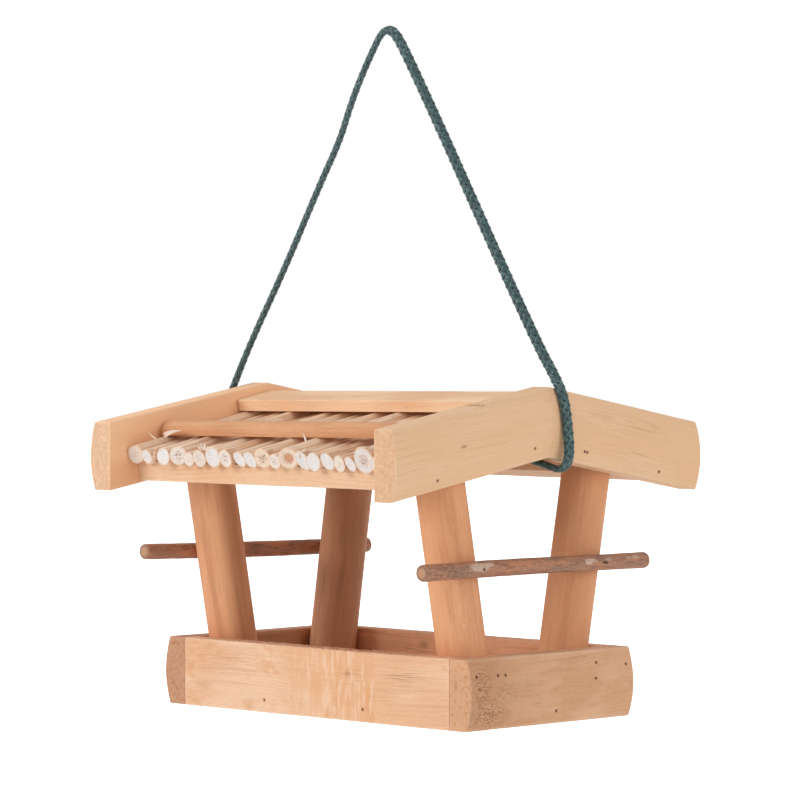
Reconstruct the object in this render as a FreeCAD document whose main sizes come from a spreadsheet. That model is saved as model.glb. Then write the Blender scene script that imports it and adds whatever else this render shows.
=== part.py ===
"""Hanging bird table: a tray on four leaning posts under a reed roof, hung on a loop of cord.

Millimetres, +Z up. The origin is where a hook bears on the top of the cord. X runs along the ridge
and Y down the roof's slopes, with the front slope on the -Y side.
"""

import FreeCAD, Part
import math
import os

import Sketcher
from FreeCAD import Placement, Rotation, Vector

SIZES = {
    # where the middle of the tray's underside hangs from the hook
    "middle_x": 4.0,
    "middle_y": 4.0,
    "hook_height": 433.0,
    # tray
    "tray_length": 268.0,
    "tray_width": 148.0,
    "tray_height": 44.0,
    "board_edge": 14.6,
    "board_crown": 4.4,
    "side_thickness": 12.0,
    "floor_thickness": 9.0,
    "floor_inset": 3.5,
    # posts and perches
    "post_diameter": 31.0,
    "post_lean": 10.7,
    "post_lean_back_left": 8.5,
    "post_top_gap": 2.0,
    "perch_diameter": 10.6,
    "perch_length": 202.5,
    "perch_shift": -1.6,
    "perch_shift_left": -3.5,
    "perch_height": 97.3,
    "perch_height_left": 98.6,
    "perch_tilt_left": 1.0,
    "perch_end_round": 2.5,
    # roof
    "ridge_height": 208.4,
    "roof_pitch": 9.8,
    "gable_reach": 138.5,
    "gable_height": 43.0,
    "reed_pitch": 11.6,
    "batten_thickness": 13.0,
    "batten_depth": 27.0,
    "batten_rise": 1.4,
    "eave_batten_front": 115.5,
    "ridge_batten_start": 7.0,
    "reed_diameter": 11.0,
    "reed_start": 3.0,
    "reed_end": 122.5,
    "reed_side_gap": 0.3,
    "dressing_rise": 0.6,
    "ridge_board_width": 28.3,
    "ridge_board_thickness": 7.6,
    "ridge_board_end_gap": 0.8,
    "cleat_diameter": 16.5,
    "cleat_front": 97.8,
    "cleat_end_round": 5.0,
    # fits and fastenings
    "seat_gap": 0.1,
    "brad_diameter": 1.6,
    "brad_length": 30.0,
    "brad_sink": 1.0,
    "pilot_gap": 0.05,
    # cord
    "cord_diameter": 5.5,
    "cord_end_gap": 0.35,
    "hook_bend_radius": 7.0,
    "edge_bend_radius": 10.0,
    "knot_length": 16.0,
    "knot_diameter": 13.0,
    "knot_tail": 13.0,
}

# The reeds from the front slope's left end, as shares of the middling diameter: the gap before
# each one and its own diameter.
REED_ROW = (
    (0.0, 1.06), (0.02, 0.81), (0.6, 0.95), (0.21, 1.1), (0.02, 0.72), (0.02, 0.84), (0.24, 1.04),
    (0.09, 1.0), (0.12, 0.9), (0.02, 0.89), (0.02, 1.12), (0.05, 0.85), (0.02, 1.21), (0.02, 0.98),
    (0.02, 0.93), (0.02, 0.98), (0.11, 0.8), (0.02, 0.79), (0.02, 1.24), (0.02, 0.85), (0.02, 0.79),
)

# Reeds are many and never quite round, so each is drawn with a few flat sides.
REED_SIDES = 18

# The cord's route from the hook, as hand-picked points. The loop runs from the right crossing over
# the hook to the left crossing, and each end run goes round its roof end to the knot.
RIGHT_CROSSING = Vector(140.45, 10.0, -223.35)
LEFT_CROSSING = Vector(-132.45, -5.0, -223.85)
LOOP_CORNER = Vector(0.0, 0.0, 9.45)
RIGHT_RUN = (Vector(145.9, 11.0, -238.0), Vector(146.0, 13.6, -273.1))
LEFT_RUN = (Vector(-137.9, -6.5, -238.0), Vector(-138.0, -8.0, -273.5))
KNOT_PLACE = Vector(-26.0, 0.52, -273.34)

# Where brads go in. Those at a post's foot are given as a shift across the tray from the post's
# middle line and a height, and those in a perch as such a shift.
SIDE_BRAD_SHARE = 0.76
FOOT_BRADS = {"front": ((-5.0, 33.3), (1.5, 33.1)), "back": ((-4.0, 35.9), (-4.0, 26.2))}
PERCH_BRAD_SHIFTS = {"front": 3.0, "back": 2.0}
FLOOR_BRADS_ALONG = (-44.5, 44.5)
FLOOR_BRAD_ACROSS = 4.0
RIDGE_BRADS = {"front": (15.6,), "back": (29.8, 32.2)}
BATTEN_BRAD_SHARE = 0.7
POST_TOP_BRAD_DROP = 8.0
CLAMP_BRADS_ALONG = (-80.0, 0.0, 80.0)

SLOPES = {"front": -1, "back": 1}
ENDS = {"left": -1, "right": 1}

INNER = "(dims.tray_length / 2 - dims.board_edge)"
OUTER = "(dims.tray_length / 2)"
HALF_WIDTH = "(dims.tray_width / 2)"
GABLE_PLUMB = "(dims.gable_height / cos(dims.roof_pitch))"
FALL = "tan(dims.reed_pitch)"
LEAN = "sin(dims.reed_pitch)"
LEVEL = "cos(dims.reed_pitch)"
FLOOR_TOP = "(dims.floor_inset + dims.floor_thickness)"
EAVE_SEAT = (
    f"(dims.ridge_height - {GABLE_PLUMB} - dims.eave_batten_front * tan(dims.roof_pitch)"
    f" + dims.batten_rise + dims.batten_thickness / {LEVEL})"
)
POST_RADIUS = "(dims.post_diameter / 2)"
POST_X = f"({INNER} - {POST_RADIUS} - dims.seat_gap)"

doc = FreeCAD.newDocument("bird_table")
dims = doc.addObject("Spreadsheet::Sheet", "dims")
for row, (alias, size) in enumerate(SIZES.items(), start=1):
    dims.set(f"A{row}", alias)
    dims.set(f"B{row}", str(size))
    dims.setAlias(f"B{row}", alias)
doc.recompute()


def number(expression):
    """Value of an expression over the sheet."""
    return float(dims.evalExpression(str(expression)))


def hang(piece, x="0", y="0", z="0"):
    """Place a piece at a point measured from the middle of the tray's underside."""
    piece.setExpression("Placement.Base.x", f"dims.middle_x + {x}")
    piece.setExpression("Placement.Base.y", f"dims.middle_y + {y}")
    piece.setExpression("Placement.Base.z", f"{z} - dims.hook_height")


def outline(body, plane, corners, bows=None):
    """Closed sketch on an origin plane of the body, with every corner bound to the sheet.

    bows gives, for the side that starts at a corner, the point that the side bows through.
    """
    bows = bows or {}
    sketch = body.newObject("Sketcher::SketchObject", body.Name + "_outline")
    support = next(item for item in body.Origin.OriginFeatures if item.Role == plane)
    sketch.AttachmentSupport = [(support, "")]
    sketch.MapMode = "FlatFace"
    spots = [Vector(number(u), number(v), 0) for u, v in corners]
    starts = []
    for index, spot in enumerate(spots):
        following = spots[(index + 1) % len(spots)]
        if index in bows:
            through = Vector(*(number(part) for part in bows[index]), 0)
            side = sketch.addGeometry(Part.Arc(spot, through, following))
        else:
            side = sketch.addGeometry(Part.LineSegment(spot, following))
        starts.append(1 if sketch.getPoint(side, 1).distanceToPoint(spot) < 1e-6 else 2)

    def bind(side, end, place):
        for kind, expression, value in zip(
            ("DistanceX", "DistanceY"), place, sketch.getPoint(side, end)
        ):
            index = sketch.addConstraint(Sketcher.Constraint(kind, -1, 1, side, end, value))
            sketch.setExpression(f"Constraints[{index}]", expression)

    for index, start in enumerate(starts):
        following = (index + 1) % len(starts)
        sketch.addConstraint(
            Sketcher.Constraint("Coincident", index, 3 - start, following, starts[following])
        )
        bind(index, start, corners[index])
    for side, place in bows.items():
        through = Vector(*(number(part) for part in place), 0)
        mark = sketch.addGeometry(Part.Point(through), True)
        sketch.addConstraint(Sketcher.Constraint("PointOnObject", mark, 1, side))
        bind(mark, 1, place)
    return sketch


def pad(name, plane, corners, length, bows=None, direction=None, symmetric=False):
    """Body whose outline is padded square to its plane, or along a leaning direction."""
    body = doc.addObject("PartDesign::Body", name)
    feature = body.newObject("PartDesign::Pad", name + "_pad")
    feature.Profile = outline(body, plane, corners, bows)
    feature.setExpression("Length", length)
    feature.SideType = "Symmetric" if symmetric else "One side"
    if direction:
        feature.UseCustomVector = True
        feature.AlongSketchNormal = True
        for axis, part in zip("xyz", direction):
            feature.setExpression(f"Direction.{axis}", part)
    hang(body)
    return body


def round_stick(name, length, radius, end_round, turn):
    """Stick along X with its ends worn round in two steps, revolved by a full or a half turn."""
    body = doc.addObject("PartDesign::Body", name)
    half = f"({length}) / 2"
    worn = ((f"{half}", 0.45), (f"{half} - ({end_round}) * 0.3", 0.82), (f"{half} - ({end_round})", 1))
    right = [(at, f"({radius}) * {share}") for at, share in worn]
    left = [(f"-({at})", high) for at, high in reversed(right)]
    corners = [(f"-{half}", "0"), (half, "0"), *right, *left]
    feature = body.newObject("PartDesign::Revolution", name + "_turn")
    feature.Profile = outline(body, "XY_Plane", corners)
    axis = next(item for item in body.Origin.OriginFeatures if item.Role == "X_Axis")
    feature.ReferenceAxis = (axis, [""])
    feature.Angle = turn
    return body


def group(name, pieces):
    """Identical pieces kept together as separate solids."""
    bundle = doc.addObject("Part::Compound", name)
    bundle.Links = pieces
    return bundle


def reed_seat(across):
    """Height of the reeds' underside at a distance from the ridge, as an expression."""
    return f"({EAVE_SEAT} + (dims.eave_batten_front - ({across})) * {FALL})"


def bowed_section(end, low, high):
    """Corners and bow of a board that is flat inside and crowned outside, in the XZ plane."""
    corners = [
        (f"{end} * {INNER}", low),
        (f"{end} * {OUTER}", low),
        (f"{end} * {OUTER}", high),
        (f"{end} * {INNER}", high),
    ]
    bows = {1: (f"{end} * ({OUTER} + dims.board_crown)", f"({low} + {high}) / 2")}
    return corners, bows


def tray():
    """Two crowned end boards, two side boards between them and an inset floor."""
    made = {}
    for side, end in ENDS.items():
        corners, bows = bowed_section(end, "0", "dims.tray_height")
        name = f"tray_end_{side}"
        made[name] = pad(name, "XZ_Plane", corners, "dims.tray_width", bows, symmetric=True)
    for side, slope in SLOPES.items():
        board = doc.addObject("Part::Box", f"tray_side_{side}")
        board.setExpression("Length", f"2 * {INNER}")
        board.setExpression("Width", "dims.side_thickness")
        board.setExpression("Height", "dims.tray_height")
        near = f"-{HALF_WIDTH}" if slope < 0 else f"({HALF_WIDTH} - dims.side_thickness)"
        hang(board, f"-{INNER}", near, "0")
        made[board.Name] = board
    floor = doc.addObject("Part::Box", "tray_floor")
    floor.setExpression("Length", f"2 * {INNER}")
    floor.setExpression("Width", "dims.tray_width - 2 * dims.side_thickness")
    floor.setExpression("Height", "dims.floor_thickness")
    hang(floor, f"-{INNER}", f"-{HALF_WIDTH} + dims.side_thickness", "dims.floor_inset")
    made["tray_floor"] = floor
    return made


def lean_of(side, hand):
    """Cell that holds a post's lean: one post stands a little straighter than the rest."""
    return "dims.post_lean_back_left" if (side, hand) == ("back", "left") else "dims.post_lean"


def post_y(side, hand, height):
    """Place across the tray of a post's middle line at a height, as an expression."""
    lean = lean_of(side, hand)
    rim = f"({HALF_WIDTH} - dims.side_thickness - dims.seat_gap - {POST_RADIUS} / cos({lean}))"
    return f"{SLOPES[side]} * ({rim} + ({height} - dims.tray_height) * tan({lean}))"


def posts():
    """Four round posts, cut level on the floor and to the roof's slope at the top."""
    made = {}
    for side, slope in SLOPES.items():
        near, far = "2", f"({HALF_WIDTH} + dims.gable_reach) / 2"
        top_gap = f"dims.post_top_gap / {LEVEL}"
        corners = [
            (f"{slope} * {near}", FLOOR_TOP),
            (f"{slope} * {far}", FLOOR_TOP),
            (f"{slope} * {far}", f"{reed_seat(far)} - {top_gap}"),
            (f"{slope} * {near}", f"{reed_seat(near)} - {top_gap}"),
        ]
        room = pad(f"post_room_{side}", "YZ_Plane", corners, "dims.tray_length", symmetric=True)
        for hand, end in ENDS.items():
            pole = doc.addObject("Part::Cylinder", f"pole_{side}_{hand}")
            pole.setExpression("Radius", POST_RADIUS)
            pole.setExpression("Height", "dims.ridge_height + dims.post_diameter")
            pole.Placement = Placement(Vector(), Rotation(Vector(1, 0, 0), 1))
            pole.setExpression("Placement.Rotation.Angle", f"{-slope} * {lean_of(side, hand)}")
            below = "(-dims.post_diameter)"
            hang(pole, f"{end} * {POST_X}", post_y(side, hand, below), below)
            post = doc.addObject("Part::Common", f"post_{side}_{hand}")
            post.Base = pole
            post.Tool = room
            made[post.Name] = post
    return made


def perch_line(hand):
    """A perch's place across the tray, its middle's height and how far its back end dips."""
    if hand == "left":
        return "dims.perch_shift_left", "dims.perch_height_left", "dims.perch_tilt_left"
    return "dims.perch_shift", "dims.perch_height", "0"


def perches():
    """A stick with rounded ends across the outside of each pair of posts."""
    made = {}
    for hand, end in ENDS.items():
        name = f"perch_{hand}"
        stick = round_stick(
            name, "dims.perch_length", "dims.perch_diameter / 2", "dims.perch_end_round", 360
        )
        across = Rotation(Vector(0, 0, 1), 90)
        shift, height, dip = perch_line(hand)
        tilt = Rotation(Vector(1, 0, 0), -number(dip))
        stick.Placement = Placement(Vector(), tilt.multiply(across))
        reach = f"({POST_X} + {POST_RADIUS} + dims.seat_gap + dims.perch_diameter / 2)"
        hang(stick, f"{end} * {reach}", shift, height)
        made[name] = stick
    return made


def gables():
    """Four crowned boards, mitred at the ridge and cut plumb at the eaves."""
    made = {}
    for side, slope in SLOPES.items():
        room = doc.addObject("Part::Box", f"gable_room_{side}")
        room.setExpression("Length", f"2 * ({OUTER} + 2 * dims.board_crown)")
        room.setExpression("Width", "dims.gable_reach")
        room.setExpression("Height", "2 * dims.ridge_height")
        near = "-dims.gable_reach" if slope < 0 else "0"
        hang(room, f"-({OUTER} + 2 * dims.board_crown)", near, "0")
        for hand, end in ENDS.items():
            corners, bows = bowed_section(end, "-dims.gable_height", "0")
            length = "2 * (dims.gable_reach + dims.gable_height)"
            name = f"gable_{side}_{hand}"
            board = pad(f"{name}_board", "XZ_Plane", corners, length, bows, symmetric=True)
            board.Placement = Placement(Vector(), Rotation(Vector(1, 0, 0), 1))
            board.setExpression("Placement.Rotation.Angle", f"{-slope} * dims.roof_pitch")
            hang(board, "0", "0", "dims.ridge_height")
            cut = doc.addObject("Part::Common", name)
            cut.Base = board
            cut.Tool = room
            made[name] = cut
    return made


def plank(name, corners, rise="0", end_gap="0"):
    """Plank between the roof ends with this outline across the ridge; rise lifts its right end."""
    direction = ("1", "0", f"tan({rise})")
    piece = pad(name, "YZ_Plane", corners, f"2 * ({INNER} - {end_gap})", None, direction)
    hang(piece, f"-({INNER} - {end_gap})", "0", f"-({INNER} - {end_gap}) * tan({rise})")
    return piece


def battens():
    """A batten under each eave and one on each side of the ridge, which carry the reeds."""
    made = {}
    for side, slope in SLOPES.items():
        for kind, start in (
            ("eave", "(dims.eave_batten_front - dims.batten_depth)"),
            ("ridge", "dims.ridge_batten_start"),
        ):
            corners = []
            for step, up in (("0", "1"), ("1", "1"), ("1", "0"), ("0", "0")):
                across = f"({start} + {step} * dims.batten_depth)"
                down = f"({up} * dims.batten_thickness)"
                corners.append(
                    (
                        f"{slope} * ({across} - {down} * {LEAN})",
                        f"{reed_seat(across)} - {down} * {LEVEL}",
                    )
                )
            made[f"{kind}_batten_{side}"] = plank(f"{kind}_batten_{side}", corners)
    return made


def reed_row():
    """Places along X and diameters of the reeds that fill the front slope from end to end."""
    room = 2 * (number(INNER) - number("dims.reed_side_gap"))
    middling = number("dims.reed_diameter")
    row = []
    used = 0.0
    while True:
        gap, size = (middling * share for share in REED_ROW[len(row) % len(REED_ROW)])
        if used + gap + size > room:
            break
        row.append((used + gap + size / 2, size))
        used += gap + size
    spare = (room - used) / max(len(row) - 1, 1)
    return [(place + spare * index - room / 2, size) for index, (place, size) in enumerate(row)]


def reeds(row):
    """A row of cut reeds down each slope, lying on the battens."""
    made = {}
    length = f"(dims.reed_end - dims.reed_start) / {LEVEL}"
    for side, slope in SLOPES.items():
        sticks = []
        for index, (along, size) in enumerate(row):
            reed = doc.addObject("Part::Prism", f"reed_{side}_{index}")
            reed.Polygon = REED_SIDES
            reed.Circumradius = size / 2
            reed.setExpression("Height", length)
            reed.Placement = Placement(Vector(), Rotation(Vector(1, 0, 0), 1))
            reed.setExpression("Placement.Rotation.Angle", f"-{slope} * (90 + dims.reed_pitch)")
            up = f"(dims.seat_gap + {size / 2})"
            height = f"{reed_seat('dims.reed_start')} + {up} * {LEVEL}"
            hang(reed, str(along), f"{slope} * (dims.reed_start + {up} * {LEAN})", height)
            sticks.append(reed)
        made[f"reeds_{side}"] = group(f"reeds_{side}", sticks)
    return made


def reed_top(row):
    """Height over the reeds' underside, at the middle, of a line that rises and clears them all."""
    rise = math.tan(math.radians(number("dims.dressing_rise")))
    return max(size - along * rise for along, size in row) + 2 * number("dims.seat_gap")


def cleat_line(top):
    """Distance from the ridge, along the reeds' underside, of the line below a cleat's middle."""
    return f"(dims.cleat_front - dims.cleat_diameter / 2 * {LEVEL} - {top} * {LEAN})"


def dressing(row):
    """Ridge boards and half-round cleats, which clamp the reeds."""
    made = {}
    top = f"({reed_top(row)})"
    for side, slope in SLOPES.items():
        made[f"ridge_board_{side}"] = ridge_board(f"ridge_board_{side}", slope, top)
        name = f"cleat_{side}"
        length = f"2 * ({INNER} - dims.seat_gap) * cos(dims.dressing_rise)"
        stick = round_stick(
            name, length, "dims.cleat_diameter / 2", "dims.cleat_end_round", 180
        )
        pitch = Rotation(Vector(1, 0, 0), -slope * number("dims.reed_pitch"))
        raised = Rotation(Vector(0, 1, 0), -number("dims.dressing_rise"))
        stick.Placement = Placement(Vector(), pitch.multiply(raised))
        across = cleat_line(top)
        height = f"{reed_seat(across)} + {top} * {LEVEL}"
        hang(stick, "0", f"{slope} * ({across} + {top} * {LEAN})", height)
        made[name] = stick
    return made


def ridge_board(name, slope, top):
    """Board beside the ridge with a plumb inner edge, so that the pair meets there."""
    near, far = "(dims.seat_gap / 2)", "dims.ridge_board_width"
    foot = f"({far} - dims.ridge_board_thickness * {LEAN})"
    under, over = f"{top} / {LEVEL}", f"({top} + dims.ridge_board_thickness) / {LEVEL}"
    corners = [
        (f"{slope} * {near}", f"{reed_seat(near)} + {under}"),
        (f"{slope} * {foot}", f"{reed_seat(foot)} + {under}"),
        (f"{slope} * {far}", f"{reed_seat(far)} + {over}"),
        (f"{slope} * {near}", f"{reed_seat(near)} + {over}"),
    ]
    return plank(name, corners, "dims.dressing_rise", "dims.ridge_board_end_gap")


def brad(name, head, direction, length="dims.brad_length"):
    """Headless six-sided nail from a sunk head, with the pilot hole that holds it.

    head is the point on the wood's surface and direction the way in, from the tray's middle.
    """
    way = Vector(*direction)
    way.normalize()
    turn = Rotation(Vector(0, 0, 1), way)
    pair = []
    for kind, gap, sink in (("brad", "0", "dims.brad_sink"), ("pilot", "dims.pilot_gap", "0")):
        pin = doc.addObject("Part::Prism", f"{kind}_{name}")
        pin.Polygon = 6
        pin.setExpression("Circumradius", f"dims.brad_diameter / 2 + {gap}")
        pin.setExpression("Height", f"{length} - ({sink}) + dims.pilot_gap * {int(kind == 'pilot')}")
        pin.Placement = Placement(Vector(), turn)
        places = [f"{at} + {part} * ({sink})" for at, part in zip(head, way)]
        hang(pin, *places)
        pair.append(pin)
    return pair


def crowned_face(end, above_middle, height):
    """Place along X of a bowed board's face at a distance above the middle of its height."""
    return f"{end} * ({OUTER} + dims.board_crown * (1 - (({above_middle}) / ({height} / 2)) ^ 2))"


def tray_brads():
    """Brads through the tray's ends into sides, posts and floor, and through its sides."""
    pins = []
    floor_middle = "(dims.floor_inset + dims.floor_thickness / 2)"
    for hand, end in ENDS.items():
        spots = [("floor", str(FLOOR_BRAD_ACROSS), floor_middle)]
        for side, slope in SLOPES.items():
            board = f"{slope} * ({HALF_WIDTH} - dims.side_thickness / 2)"
            spots.append((f"side_{side}", board, f"(dims.tray_height * {SIDE_BRAD_SHARE})"))
            for index, (shift, level) in enumerate(FOOT_BRADS[side]):
                across = f"{post_y(side, hand, level)} + {shift}"
                spots.append((f"foot_{side}_{index}", across, str(level)))
        for name, across, level in spots:
            face = crowned_face(end, f"{level} - dims.tray_height / 2", "dims.tray_height")
            pins.append(brad(f"{name}_{hand}", (face, across, level), (-end, 0, 0)))
    for side, slope in SLOPES.items():
        for index, along in enumerate(FLOOR_BRADS_ALONG):
            spot = (str(along), f"{slope} * {HALF_WIDTH}", floor_middle)
            pins.append(brad(f"floor_{side}_{index}", spot, (0, -slope, 0)))
    return pins


def perch_brads():
    """One brad through a perch into each post."""
    pins = []
    face = f"({POST_X} + {POST_RADIUS} + dims.seat_gap + dims.perch_diameter)"
    for hand, end in ENDS.items():
        shift, middle, dip = perch_line(hand)
        for side in SLOPES:
            across = f"({post_y(side, hand, middle)} + {PERCH_BRAD_SHIFTS[side]})"
            height = f"{middle} - ({across} - {shift}) * tan({dip})"
            spot = (f"{end} * {face}", across, height)
            pins.append(brad(f"perch_{side}_{hand}", spot, (-end, 0, 0)))
    return pins


def gable_brads():
    """Brads through the roof ends into the battens, and through each post's top into them."""
    pins = []
    depth = f"(dims.batten_thickness * {BATTEN_BRAD_SHARE})"
    for hand, end in ENDS.items():
        for side, slope in SLOPES.items():
            eave = "(dims.eave_batten_front - dims.batten_depth * 0.55)"
            for index, across in enumerate([eave, *map(str, RIDGE_BRADS[side])]):
                level = f"({reed_seat(across)} - {depth} / {LEVEL})"
                middle = f"(dims.ridge_height - {GABLE_PLUMB} / 2 - {across} * tan(dims.roof_pitch))"
                face = crowned_face(end, f"{level} - {middle}", GABLE_PLUMB)
                spot = (face, f"{slope} * {across}", level)
                pins.append(brad(f"batten_{side}_{index}_{hand}", spot, (-end, 0, 0)))
            ridge_end = f"(dims.ridge_height - {GABLE_PLUMB})"
            level = f"({ridge_end} - dims.post_top_gap - {POST_TOP_BRAD_DROP})"
            spot = (f"{end} * ({POST_X} - {POST_RADIUS})", post_y(side, hand, level), level)
            length = "(dims.post_diameter + dims.board_edge * 0.7)"
            pins.append(brad(f"top_{side}_{hand}", spot, (end, 0, 0), length))
    return pins


def clamp_brads(row):
    """Brads down through cleats and ridge boards and between reeds, into the battens."""
    pins = []
    top = reed_top(row)
    pitch = math.radians(number("dims.reed_pitch"))
    gaps = [(a + s / 2 + b - t / 2) / 2 for (a, s), (b, t) in zip(row, row[1:])]
    for side, slope in SLOPES.items():
        down = (0, -slope * math.sin(pitch), -math.cos(pitch))
        for kind, across, cover in (
            ("cleat", cleat_line(top), "dims.cleat_diameter / 2"),
            (
                "ridge",
                f"(dims.ridge_batten_start + dims.batten_depth / 2 - {top} * {LEAN})",
                "dims.ridge_board_thickness",
            ),
        ):
            for index, wanted in enumerate(CLAMP_BRADS_ALONG):
                along = min(gaps, key=lambda gap: abs(gap - wanted))
                up = f"({top} + {along} * tan(dims.dressing_rise) + {cover})"
                height = f"{reed_seat(across)} + {up} * {LEVEL}"
                spot = (str(along), f"{slope} * ({across} + {up} * {LEAN})", height)
                length = f"({up} + dims.batten_thickness * {BATTEN_BRAD_SHARE})"
                pins.append(brad(f"{kind}_{side}_{index}", spot, down, length))
    return pins


def tangent_wire(points, radii):
    """Straight runs joined by tangent arcs, one radius for each point between the ends."""
    edges = []
    start = points[0]
    for before, corner, after, radius in zip(points, points[1:], points[2:], radii):
        back = (before - corner).normalize()
        ahead = (after - corner).normalize()
        half_turn = (math.pi - back.getAngle(ahead)) / 2
        reach = radius * math.tan(half_turn)
        inner = (back + ahead).normalize()
        centre = corner + inner * (radius / math.cos(half_turn))
        leave = corner + back * reach
        join = corner + ahead * reach
        edges.append(Part.LineSegment(start, leave).toShape())
        edges.append(Part.Arc(leave, centre - inner * radius, join).toShape())
        print(f"cord bend radius {radius:.1f} mm, turn {math.degrees(2 * half_turn):.0f} degrees")
        start = join
    edges.append(Part.LineSegment(start, points[-1]).toShape())
    return Part.Wire(edges)


def ring_corners(radius, centre, way):
    """Corners of a twelve-sided section, on a circle square to a direction."""
    turn = Rotation(Vector(0, 0, 1), way)
    angles = [math.radians(30 * step) for step in range(12)]
    corners = [Vector(radius * math.cos(a), radius * math.sin(a), 0) for a in angles]
    return [centre + turn.multVec(corner) for corner in corners]


def closed(corners):
    """Closed outline through the corners."""
    return Part.makePolygon([*corners, corners[0]])


def ring(radius, centre, way):
    """Twelve-sided section as an outline."""
    return closed(ring_corners(radius, centre, way))


def flat_sided(rings):
    """Solid between rings of corners on one line, with a flat face for each side of each step."""
    faces = [Part.Face(closed(rings[0])), Part.Face(closed(rings[-1]))]
    for near, far in zip(rings, rings[1:]):
        for index, corner in enumerate(near):
            following = (index + 1) % len(near)
            side = [corner, near[following], far[following], far[index]]
            faces.append(Part.Face(closed(side)))
    return Part.makeSolid(Part.makeShell(faces))


def tube(name, points, radii):
    """Cord along a route, checked against its section times its length."""
    wire = tangent_wire(points, radii)
    radius = number("dims.cord_diameter") / 2
    section = ring(radius, points[0], (points[1] - points[0]).normalize())
    piece = doc.addObject("Part::Feature", name)
    piece.Shape = wire.makePipeShell([section], True, False)
    expected = Part.Face(section).Area * wire.Length
    print(f"{name}: {wire.Length:.1f} mm long, volume {piece.Shape.Volume / expected:.4f} of ideal")
    return piece


def open_radius(before, corner, after):
    """Largest arc that two runs allow: 0.45 of the shorter run over the tangent of half the turn."""
    back = before - corner
    ahead = after - corner
    half_turn = (math.pi - back.getAngle(ahead)) / 2
    return 0.45 * min(back.Length, ahead.Length) / math.tan(half_turn)


def cord():
    """The hanging loop, the two runs round the roof ends and the knot that joins them."""
    made = {}
    loop = (RIGHT_CROSSING, LOOP_CORNER, LEFT_CROSSING)
    made["cord_loop"] = tube("cord_loop", loop, [number("dims.hook_bend_radius")])
    half_knot = number("dims.knot_length") / 2
    clear = number("dims.cord_diameter / 2 + dims.cord_end_gap")
    for hand, crossing, run in (
        ("right", RIGHT_CROSSING, RIGHT_RUN),
        ("left", LEFT_CROSSING, LEFT_RUN),
    ):
        top = crossing + (run[0] - crossing).normalize() * clear
        into_knot = KNOT_PLACE + (run[1] - KNOT_PLACE).normalize() * half_knot
        points = (top, run[0], run[1], into_knot)
        radii = (open_radius(*points[:3]), number("dims.edge_bend_radius"))
        name = f"cord_{hand}"
        made[name] = tube(name, points, radii)
    made["cord_knot"] = knot()
    return made


def knot():
    """Barrel of the knot, face to face with both runs, and its two short tails."""
    cord_radius = number("dims.cord_diameter") / 2
    half = number("dims.knot_length") / 2
    bulge = number("dims.knot_diameter") / 2
    shoulder = (cord_radius + 2 * bulge) / 3
    steps = ((-half, cord_radius), (-half / 2, shoulder), (-half / 6, bulge))
    steps += tuple((-along, radius) for along, radius in reversed(steps))
    along_x = Vector(1, 0, 0)
    barrel = flat_sided([ring_corners(size, along_x * at, along_x) for at, size in steps])
    tails = []
    for hand in (-1, 1):
        way = Vector(hand * 0.6, hand * 0.62, -0.5).normalize()
        length = bulge + number("dims.knot_tail")
        tails.append(Part.Face(ring(cord_radius, Vector(), way)).extrude(way * length))
    piece = doc.addObject("Part::Feature", "cord_knot")
    piece.Shape = barrel.fuse(tails).removeSplitter()
    run = RIGHT_RUN[1] - KNOT_PLACE
    piece.Placement = Placement(KNOT_PLACE, Rotation(Vector(1, 0, 0), run))
    return piece


def drill(pieces, pilots):
    """Cut the pilot holes out of every wooden piece that one of them enters."""
    drilled = {}
    doc.recompute()
    for name, piece in pieces.items():
        box = piece.Shape.BoundBox
        entering = [pin for pin in pilots if box.intersect(pin.Shape.BoundBox)]
        entering = [pin for pin in entering if piece.Shape.distToShape(pin.Shape)[0] < 1e-6]
        if not entering:
            drilled[name] = piece
            continue
        piece.Label = f"{name}_undrilled"
        cut = doc.addObject("Part::Cut", f"{name}_drilled")
        cut.Label = name
        cut.Base = piece
        cut.Tool = group(f"holes_{name}", entering)
        drilled[name] = cut
    return drilled


def check(nodes):
    """Stop unless every object is up to date and every node's shape is sound."""
    for item in doc.Objects:
        if {"Invalid", "Error"} & set(item.State):
            raise RuntimeError(f"{item.Name} failed: {item.State}")
    for name, item in nodes.items():
        shape = item.Shape
        if shape.isNull() or not shape.isValid() or not shape.Solids:
            raise RuntimeError(f"{name} has no sound shape")
        if item.Label != name:
            raise RuntimeError(f"{name} is labelled {item.Label}")
        if item.TypeId == "Part::Cut":
            lost = item.Base.Shape.Volume - shape.Volume
            if not 0 < lost < sum(pin.Shape.Volume for pin in item.Tool.Links) + 1:
                raise RuntimeError(f"{name} lost {lost:.1f} cubic millimetres to its holes")


def main():
    """Build every piece, check it and write it to its own file."""
    row = reed_row()
    wood = {}
    for build in (tray, posts, perches, gables, battens):
        wood.update(build())
    wood.update(reeds(row))
    wood.update(dressing(row))
    brads = {
        "tray_brads": tray_brads(),
        "perch_brads": perch_brads(),
        "gable_brads": gable_brads(),
        "clamp_brads": clamp_brads(row),
    }
    pilots = [pilot for pairs in brads.values() for _, pilot in pairs]
    nodes = drill(wood, pilots)
    for name, pairs in brads.items():
        nodes[name] = group(name, [pin for pin, _ in pairs])
    nodes.update(cord())
    doc.recompute()
    check(nodes)
    os.makedirs("parts", exist_ok=True)
    for name, item in nodes.items():
        item.Shape.exportStep(os.path.join("parts", f"{name}.step"))
    print(f"{len(nodes)} nodes, {len(row)} reeds a side")


main()
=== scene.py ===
"""Looks of a hanging bird table: sawn boards, round posts, a reed roof and a braided cord.

Lengths in the classes are in millimetres, measured from the middle of the tray's underside with X
along the ridge, the front slope on the -Y side and Z up. They become metres in the frame of the
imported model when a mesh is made.
"""

from __future__ import annotations

import logging
import math
from dataclasses import dataclass, field
from enum import Enum
from itertools import product
from typing import Any

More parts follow.
